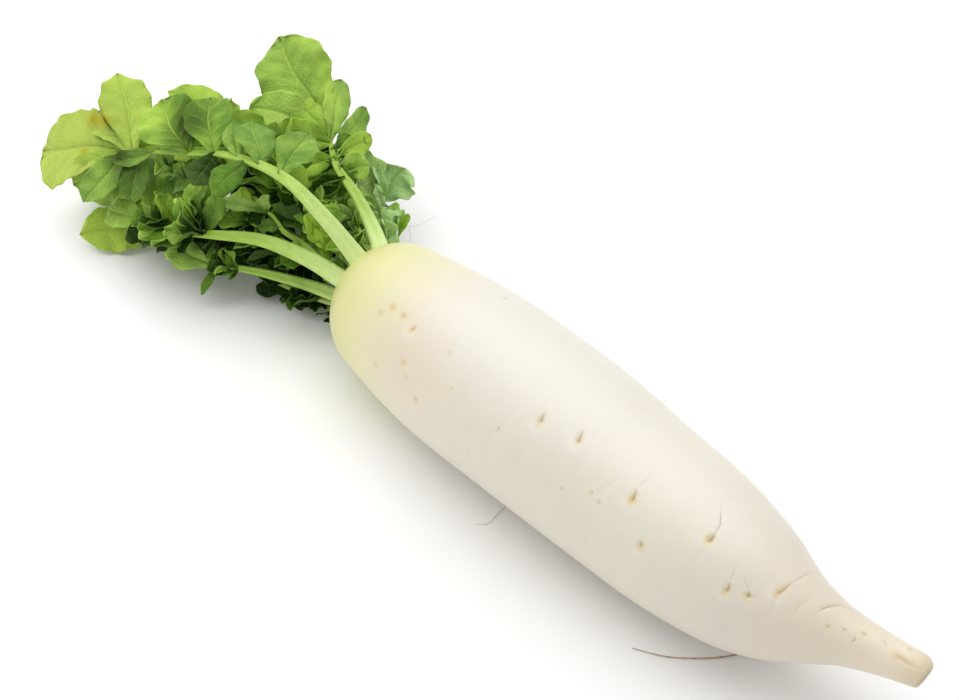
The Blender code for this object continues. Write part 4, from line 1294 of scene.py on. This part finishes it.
# How light each leaf's green is (the inner and lower leaves darker, as painted shade), how yellow, how much
# painted sheen, and how many small leaflets are tried on it: from what share of the midrib, how long, and
# lifted by how many degrees.
Crowd = namedtuple("Crowd", "light yellow grey tries first length lift", defaults=[0, 0, (), ()])
CROWDS = {
    "leaf_arched": Crowd(0.90, 0.10, 0.15),
    "leaf_tall": Crowd(0.84, 0.08, 0.1, 40, 0.5, (11, 20), (-70, 0)),
    "leaf_front": Crowd(0.94, 0.0, 0.1, 34, 0.66, (13, 26), (-20, 70)),
    "leaf_front_low": Crowd(0.90, 0.0, 0.1, 20, 0.8, (7, 12), (-10, 50)),
    "leaf_far": Crowd(0.84, 0.40, 0.0, 60, 0.25, (12, 24), (-20, 60)),
    "leaf_curled": Crowd(1.25, 0.0, 0.5, 40, 0.2, (12, 22), (-20, 60)),
    "leaf_middle": Crowd(0.90, 0.0, 0.05, 180, 0.12, (12, 28), (-50, 70)),
    "leaf_heart": Crowd(0.9, 0.0, 0.05, 150, 0.12, (9, 22), (-50, 75)),
    "leaf_inner": Crowd(0.6, 0.0, 0.0, 180, 0.10, (10, 26), (-50, 75)),
    "leaf_back": Crowd(0.42, 0.0, 0.0, 220, 0.10, (12, 30), (-30, 60)),
    "leaf_under": Crowd(0.16, 0.0, 0.0, 80, 0.12, (8, 14), (-20, 60)),
    "shoot_near": Crowd(1.1, 0.0, 0.2),
    "shoot_ridge": Crowd(0.95, 0.0, 0.3, 30, 0.6, (8, 16), (-20, 60)),
    "shoot_core": Crowd(0.95, 0.2, 0.2, 20, 0.5, (7, 12), (-20, 60)),
    "shoot_small": Crowd(0.80, 0.0, 0.0),
    "shoot_rear": Crowd(0.8, 0.0, 0.1, 60, 0.2, (9, 18), (-20, 60)),
}
# Painted light and shade on the leaves: where they are painted lighter (or darker) than that, place, reach
# and by how much.
PAINTED_LIGHT_AND_SHADE = [
    ((-208, 66, 60), 18, -0.05), ((-230, 32, 58), 16, 0.5), ((-262, 0, 66), 12, 0.35),
    ((-172, 62, 34), 20, 0.35), ((-215, -38, 18), 10, 0.4), ((-150, -4, 8), 18, -0.5),
    ((-186, 0, 88), 14, -0.25), ((-165, 12, 86), 12, -0.25), ((-190, -35, 72), 14, -0.35),
    ((-238, -45, 48), 12, -0.25), ((-240, -20, 80), 12, 0.15), ((-227, 16, 66), 10, 0.3),
    ((-262, -50, 10), 16, 0.95), ((-174, 44, 44), 15, 0.4), ((-240, -38, 50), 14, 0.3),
    ((-205, 34, 72), 14, 0.5), ((-154, 47, 50), 18, 0.3), ((-255, 10, 68), 12, 0.3),
]

# Painted shade in the dark hollows between the leaves, as seen from the front: place, reach and how dark.
PAINTED_HOLLOW_SHADE = [
    ((-223, -15, 78), 10, 1.1), ((-212, -3, 78), 7, 0.4), ((-244, -45, 62), 7, 0.8),
    ((-230, -22, 64), 6, 0.6), ((-243, -38, 45), 9, 0.2), ((-225, -35, 50), 7, 0.6),
    ((-207, -15, 60), 7, 0.6), ((-193, -6, 60), 7, 0.6), ((-198, -17, 55), 6, 0.5),
    ((-200, -33, 40), 8, 0.9), ((-191, -19, 50), 6, 0.4), ((-178, -13, 45), 9, 0.9),
    ((-172, -2, 45), 9, 0.9), ((-169, 8, 42), 9, 0.9), ((-219, -45, 35), 9, 0.7), ((-180, 27, 45), 7, 0.7),
    ((-170, 21, 40), 8, 0.7), ((-151, 20, 40), 6, 0.6), ((-171, 39, 45), 6, 0.5), ((-178, -13, 18), 8, 0.6),
    ((-167, -5, 15), 9, 0.7), ((-158, 1, 12), 9, 0.7), ((-149, -7, 8), 10, 0.7),
]
HOLLOW_DEPTH = 26  # how far in front of a hollow's middle, and behind it, the leaves darken

# Cells across and along a blade that is wider than the first number, of a stalk, and of a rootlet.
BLADE_CELLS = [(30, 32, 60), (18, 20, 38), (11, 12, 25), (0, 8, 16)]
STALK_CELLS = (18, 72)
ROOTLET_CELLS = (8, 48)
STALK_STATIONS = 241
TOOTH_EVERY = 4.2
LEAST_BLADE_HEIGHT = 0.35


def tint_and_shade_of(lobe, light, by_hand):
    """How light a lobe's green is: painted shade where it hangs or lies low in the tuft, and the table's
    painted light and shade.
    """
    tint = light - 0.4 * (lobe.tip.z < lobe.base.z - 4 and lobe.tip.x > -265)
    heart = lobe.base.lerp(lobe.tip, 0.6)
    for centre, reach, change in PAINTED_LIGHT_AND_SHADE:
        tint += change * math.exp(-((heart - Vector(centre)).length / reach) ** 2)
    if not by_hand and heart.x > -240:
        tint -= 0.6 * min(1.0, max(0.0, (46 - heart.z) / 30))
    return tint


def share_past(x, start, span):
    """0 before start, 1 a span beyond it towards -X."""
    return min(1.0, max(0.0, (start - x) / span))


def make_blades(looks, leaf, lobes):
    """All the lobes of a leaf joined as one piece."""
    crowd = CROWDS[leaf.name]
    draw = random.Random(leaf.seed)
    blades = []
    for index, lobe in enumerate(lobes):
        by_hand = index <= len(leaf.placed)
        torn = 0.1 if by_hand and leaf.name != "leaf_curled" else 0.34
        light = crowd.light + draw.uniform(-1, 1) * (0.12 if by_hand else 0.42)
        old = crowd.yellow * draw.uniform(0.5, 1.0) * share_past(lobe.tip.x, -190, 40)
        old += 0.75 * share_past(lobe.tip.x, -250, 55)
        blade = make_blade(looks, lobe, leaf.seed * 100 + index, tint_and_shade_of(lobe, light, by_hand), torn)
        give(blade, "yellow", min(old, 1.0))
        give(blade, "grey", crowd.grey * draw.uniform(0.3, 1.7))
        blades.append(blade)
    select_only(*blades)
    bpy.ops.object.join()
    return blades[0]


def thicken(sheet, thickness, *materials):
    """Gives a sheet a wall: the first material above, the second below and round the rim."""
    sheet.data.materials.clear()
    for material in materials:
        sheet.data.materials.append(material)
    wall = sheet.modifiers.new("wall", "SOLIDIFY")
    wall.thickness = thickness
    wall.offset = 0.0
    wall.material_offset = 1
    wall.material_offset_rim = 1
    select_only(sheet)
    bpy.ops.object.modifier_apply(modifier=wall.name)


def make_leaves(looks):
    """All the leaves, one piece each: a stalk with its lobes, bent clear of one another."""
    upper = blade_material(looks, "leaf_upper", True)
    lower = blade_material(looks, "leaf_underside", False)
    flesh = stalk_material(looks)
    leaves = [*LEAVES, *SHOOTS]
    grown = grown_lobes(LEAVES)
    crown = tree_of(root_mesh(GAP))
    stalks = {leaf.name: tree_of(stalk_mesh(leaf, GAP)) for leaf in leaves}
    trees = {leaf.name: [tree_of(lobe_mesh(lobe)) for lobe in grown.get(leaf.name, [])] for leaf in leaves}

    def around(leaf):
        """What the leaf's lobes have to be clear of."""
        others = [other for other in leaves if other is not leaf]
        return [crown, *(stalks[o.name] for o in others), *(tree for o in others for tree in trees[o.name])]

    for shoot in SHOOTS:
        grown[shoot.name] = [lobe for lobe in lobes_of(shoot) if fits(lobe, around(shoot))]
        trees[shoot.name] = [tree_of(lobe_mesh(lobe)) for lobe in grown[shoot.name]]
    for leaf in leaves:
        bare = bare_stalks(LEAVES, leaf.name)
        lobes = grown[leaf.name] + extra_lobes(leaf, CROWDS[leaf.name], around(leaf), trees[leaf.name], bare)
        sheet = make_blades(looks, leaf, lobes)
        thicken(sheet, looks.blade_thickness, upper, lower)
        stalk = make_stalk(leaf)
        stalk.data.materials.append(flesh)
        select_only(stalk, sheet)
        bpy.ops.object.join()
        stalk.name = "foliage_" + leaf.name.split("_", 1)[1]
        bpy.ops.object.shade_smooth()
        seat(stalk, "leaves", *([leaf.name] if leaf in LEAVES else []))


# --- The rootlets -----------------------------------------------------------------------------------
# The points each rootlet passes, its half-width where it leaves the root, and how pale it is.
ROOTLETS = [
    (
        [(140, 8, 12), (134, -2, 4), (131, -5.5, 1.2), (124.5, -16, 0.6), (113, -27.5, 0.5),
         (99.3, -35.8, 0.5)],
        0.42,
        0,
    ),
    ([(5, -10, 2), (5, -15.5, 1.0), (6, -25, 0.5), (7.4, -33.3, 0.4), (3.9, -38.2, 0.4)], 0.26, 0.75),
    ([(-112, 24, 50), (-122, 33, 47), (-131, 40, 42), (-137, 50, 34), (-140, 64, 31)], 0.22, 0.6),
]


def make_rootlets():
    """Three hairs: tubes that taper to nothing along a bent line."""
    hairs = []
    for route, thick, pale in ROOTLETS:

        def section(share, turn):
            half = thick * (1 - 0.75 * share) + 0.03
            return half * np.cos(turn), half * np.sin(turn)

        middle = np.array(route_points(route, ROOTLET_CELLS[1] + 1))
        middle += 0.35 * np.sin(np.linspace(0, 9, len(middle)))[:, None] * np.array([0.6, -0.4, 0.0])
        hair, points = roll_up(*ROOTLET_CELLS, middle, UP, section)
        points[:, 2] = np.maximum(points[:, 2], 0.05)
        shape(hair, points * MM)
        give(hair, "pale", pale)
        close_tube(hair, 0.000001)
        hairs.append(hair)
    select_only(*hairs)
    bpy.ops.object.join()
    piece = hairs[0]
    piece.name = "rootlets"
    bpy.ops.object.shade_smooth()
    piece.data.materials.append(rootlet_material())
    seat(piece, "root")


# --- The stage --------------------------------------------------------------------------------------
FLOOR_SIZE = 8.0
LAMP_PLACE, LAMP_AIM = (-0.30, 0.16, 1.25), (0, 0, 0.03)
FILL_PLACE, FILL_AIM = (-0.45, -0.35, 0.45), (-0.27, -0.07, 0)
CAMERA_PLACE, CAMERA_AIM = (0.5141, -0.4849, 0.7124), (-0.0502, 0.0126, 0.035)
SENSOR_WIDTH = 36.0


def add_lamp(kind, name, place, aim, power):
    bpy.ops.object.light_add(type=kind, location=place)
    lamp = bpy.context.active_object
    lamp.name = name
    lamp.data.energy = power
    look_at(lamp, aim)
    return lamp.data


def look_at(obj, aim):
    obj.rotation_euler = (Vector(aim) - obj.location).to_track_quat("-Z", "Y").to_euler()


def make_stage(looks):
    """A pale floor, an even white surround, a broad lamp above, a soft one by the leaves, and the camera."""
    bpy.ops.object.select_all(action="DESELECT")
    bpy.ops.mesh.primitive_plane_add(size=FLOOR_SIZE, location=(0, 0, 0))
    floor = bpy.context.active_object
    floor.name = "floor"
    floor.data.materials.append(floor_material(looks))
    scene = bpy.context.scene
    scene.world = scene.world or bpy.data.worlds.new("surround")
    scene.world.use_nodes = True
    sky = scene.world.node_tree.nodes["Background"]
    sky.inputs["Color"].default_value = (0.99, 0.995, 1.0, 1.0)
    sky.inputs["Strength"].default_value = looks.surround_strength
    broad = add_lamp("AREA", "broad_lamp", LAMP_PLACE, LAMP_AIM, looks.lamp_power)
    broad.size = looks.lamp_size
    broad.color = (1.0, 0.99, 0.975)
    fill = add_lamp("SPOT", "leaf_fill_lamp", FILL_PLACE, FILL_AIM, looks.fill_power)
    fill.spot_size = math.radians(38)
    fill.spot_blend = 1.0
    fill.shadow_soft_size = 0.16
    bpy.ops.object.camera_add(location=CAMERA_PLACE)
    scene.camera = bpy.context.active_object
    scene.camera.data.lens = looks.lens
    scene.camera.data.sensor_width = SENSOR_WIDTH
    look_at(scene.camera, CAMERA_AIM)
    scene.view_settings.view_transform = "Standard"
    scene.view_settings.look = "None"


# --- The add-on -------------------------------------------------------------------------------------
def colour(name, description, default):
    return FloatVectorProperty(
        name=name, description=description, default=default, size=3, min=0, max=1, subtype="COLOR"
    )


def metres(name, description, default, **limits):
    return FloatProperty(
        name=name, description=description, default=default, unit="LENGTH", subtype="DISTANCE", **limits
    )


def watts(name, description, default):
    return FloatProperty(name=name, description=description, default=default, min=0, unit="POWER")


class RootLooks(PropertyGroup):
    skin_colour: colour("Skin", "Colour of the body of the root", (0.785, 0.735, 0.61))
    crown_colour: colour("Crown", "Colour where the leaves grow", (0.62, 0.63, 0.165))
    shoulder_colour: colour("Shoulder", "Colour just below the crown", (0.76, 0.74, 0.36))
    tail_colour: colour("Tail", "Colour of the thin end", (0.84, 0.75, 0.60))
    blush_colour: colour("Blush", "Warm patch below the shoulder", (0.80, 0.64, 0.48))
    scar_colour: colour("Scars", "Colour of old rootlet scars", (0.66, 0.49, 0.17))
    # Dark brown of the scars, also laid on as painted shade deep in slits and fine creases.
    crease_scar_and_shade_colour: colour("Creases", "Colour deep in slits and creases", (0.25, 0.145, 0.025))
    scar_depth: metres("Scar depth", "Depth of the deepest slits", 0.001, min=0, max=0.003)


class LeafLooks(PropertyGroup):
    dark_colour: colour("Dark green", "Colour of the shaded inner leaves", (0.006, 0.028, 0.0006))
    middle_colour: colour("Middle green", "Colour of most leaves", (0.095, 0.225, 0.005))
    light_colour: colour("Light green", "Colour of the young outer leaves", (0.38, 0.58, 0.055))
    yellow_colour: colour("Yellowing", "Colour of ageing lobes", (0.45, 0.55, 0.105))
    # Painted sheen: the pale, dull green that stands in for light glancing off the leaves.
    painted_sheen_colour: colour("Bloom", "Colour of the dull, greyish leaves", (0.45, 0.65, 0.28))
    rust_colour: colour("Spots", "Colour of old spots", (0.40, 0.34, 0.012))
    underside_colour: colour("Underside", "Colour of the back of a leaf", (0.18, 0.30, 0.07))
    vein_colour: colour("Veins", "Colour of the veins", (0.42, 0.57, 0.12))
    stalk_colour: colour("Stalk", "Colour of the stalk at the crown", (0.54, 0.71, 0.20))
    stalk_far_colour: colour("Midrib", "Colour of the midrib far from the crown", (0.31, 0.49, 0.055))
    blade_thickness: metres("Blade thickness", "Thickness of a leaf", 0.0004, min=0.0001, max=0.001)
    tooth_depth: FloatProperty(
        name="Tooth depth", description="Depth of the leaf edge's teeth", default=0.045, min=0, max=0.4
    )


class StageLooks(PropertyGroup):
    floor_colour: colour("Floor", "Colour of the floor", (0.948, 0.942, 0.945))
    surround_strength: FloatProperty(name="Surround", description="Light from all round", default=0.72, min=0)
    lamp_power: watts("Lamp power", "Strength of the broad lamp", 10.4)
    fill_power: watts("Fill power", "Strength of the lamp beside the leaves", 5.0)
    lamp_size: metres("Lamp size", "Side of the broad lamp", 1.5, min=0.05)
    lens: FloatProperty(
        name="Lens", description="Focal length", default=85.0, min=10, max=300, unit="CAMERA", subtype="NONE"
    )


class RADISH_OT_root(Operator):
    """Make the root with its skin, scars and creases"""

    bl_idname = "radish.root"
    bl_label = "Root"

    def execute(self, context):
        make_skin(context.scene.radish_root)
        return {"FINISHED"}


class RADISH_OT_leaves(Operator):
    """Make the leaves, each with its stalk and lobes"""

    bl_idname = "radish.leaves"
    bl_label = "Leaves"

    def execute(self, context):
        make_leaves(context.scene.radish_leaves)
        return {"FINISHED"}


class RADISH_OT_rootlets(Operator):
    """Make the fine rootlets"""

    bl_idname = "radish.rootlets"
    bl_label = "Rootlets"

    def execute(self, context):
        make_rootlets()
        return {"FINISHED"}


class RADISH_OT_stage(Operator):
    """Make the floor, the light and the camera"""

    bl_idname = "radish.stage"
    bl_label = "Stage"

    def execute(self, context):
        make_stage(context.scene.radish_stage)
        return {"FINISHED"}


class RADISH_PT_panel(Panel):
    bl_idname = "RADISH_PT_panel"
    bl_label = "Daikon Radish"
    bl_space_type = "VIEW_3D"
    bl_region_type = "UI"
    bl_category = "Daikon"

    def draw(self, context):
        for operator in (RADISH_OT_root, RADISH_OT_leaves, RADISH_OT_rootlets, RADISH_OT_stage):
            self.layout.operator(operator.bl_idname)
        for group in ("radish_root", "radish_leaves", "radish_stage"):
            looks = getattr(context.scene, group)
            box = self.layout.box()
            for name in looks.__annotations__:
                box.prop(looks, name)


GROUPS = {"radish_root": RootLooks, "radish_leaves": LeafLooks, "radish_stage": StageLooks}
CLASSES = [
    *GROUPS.values(),
    RADISH_OT_root,
    RADISH_OT_leaves,
    RADISH_OT_rootlets,
    RADISH_OT_stage,
    RADISH_PT_panel,
]


def register():
    for cls in CLASSES:
        bpy.utils.register_class(cls)
    for name, group in GROUPS.items():
        setattr(bpy.types.Scene, name, PointerProperty(type=group))


def unregister():
    for name in GROUPS:
        delattr(bpy.types.Scene, name)
    for cls in reversed(CLASSES):
        bpy.utils.unregister_class(cls)


def main():
    register()
    bpy.ops.radish.root()
    bpy.ops.radish.leaves()
    bpy.ops.radish.rootlets()
    bpy.ops.radish.stage()


if __name__ == "__main__":
    main()
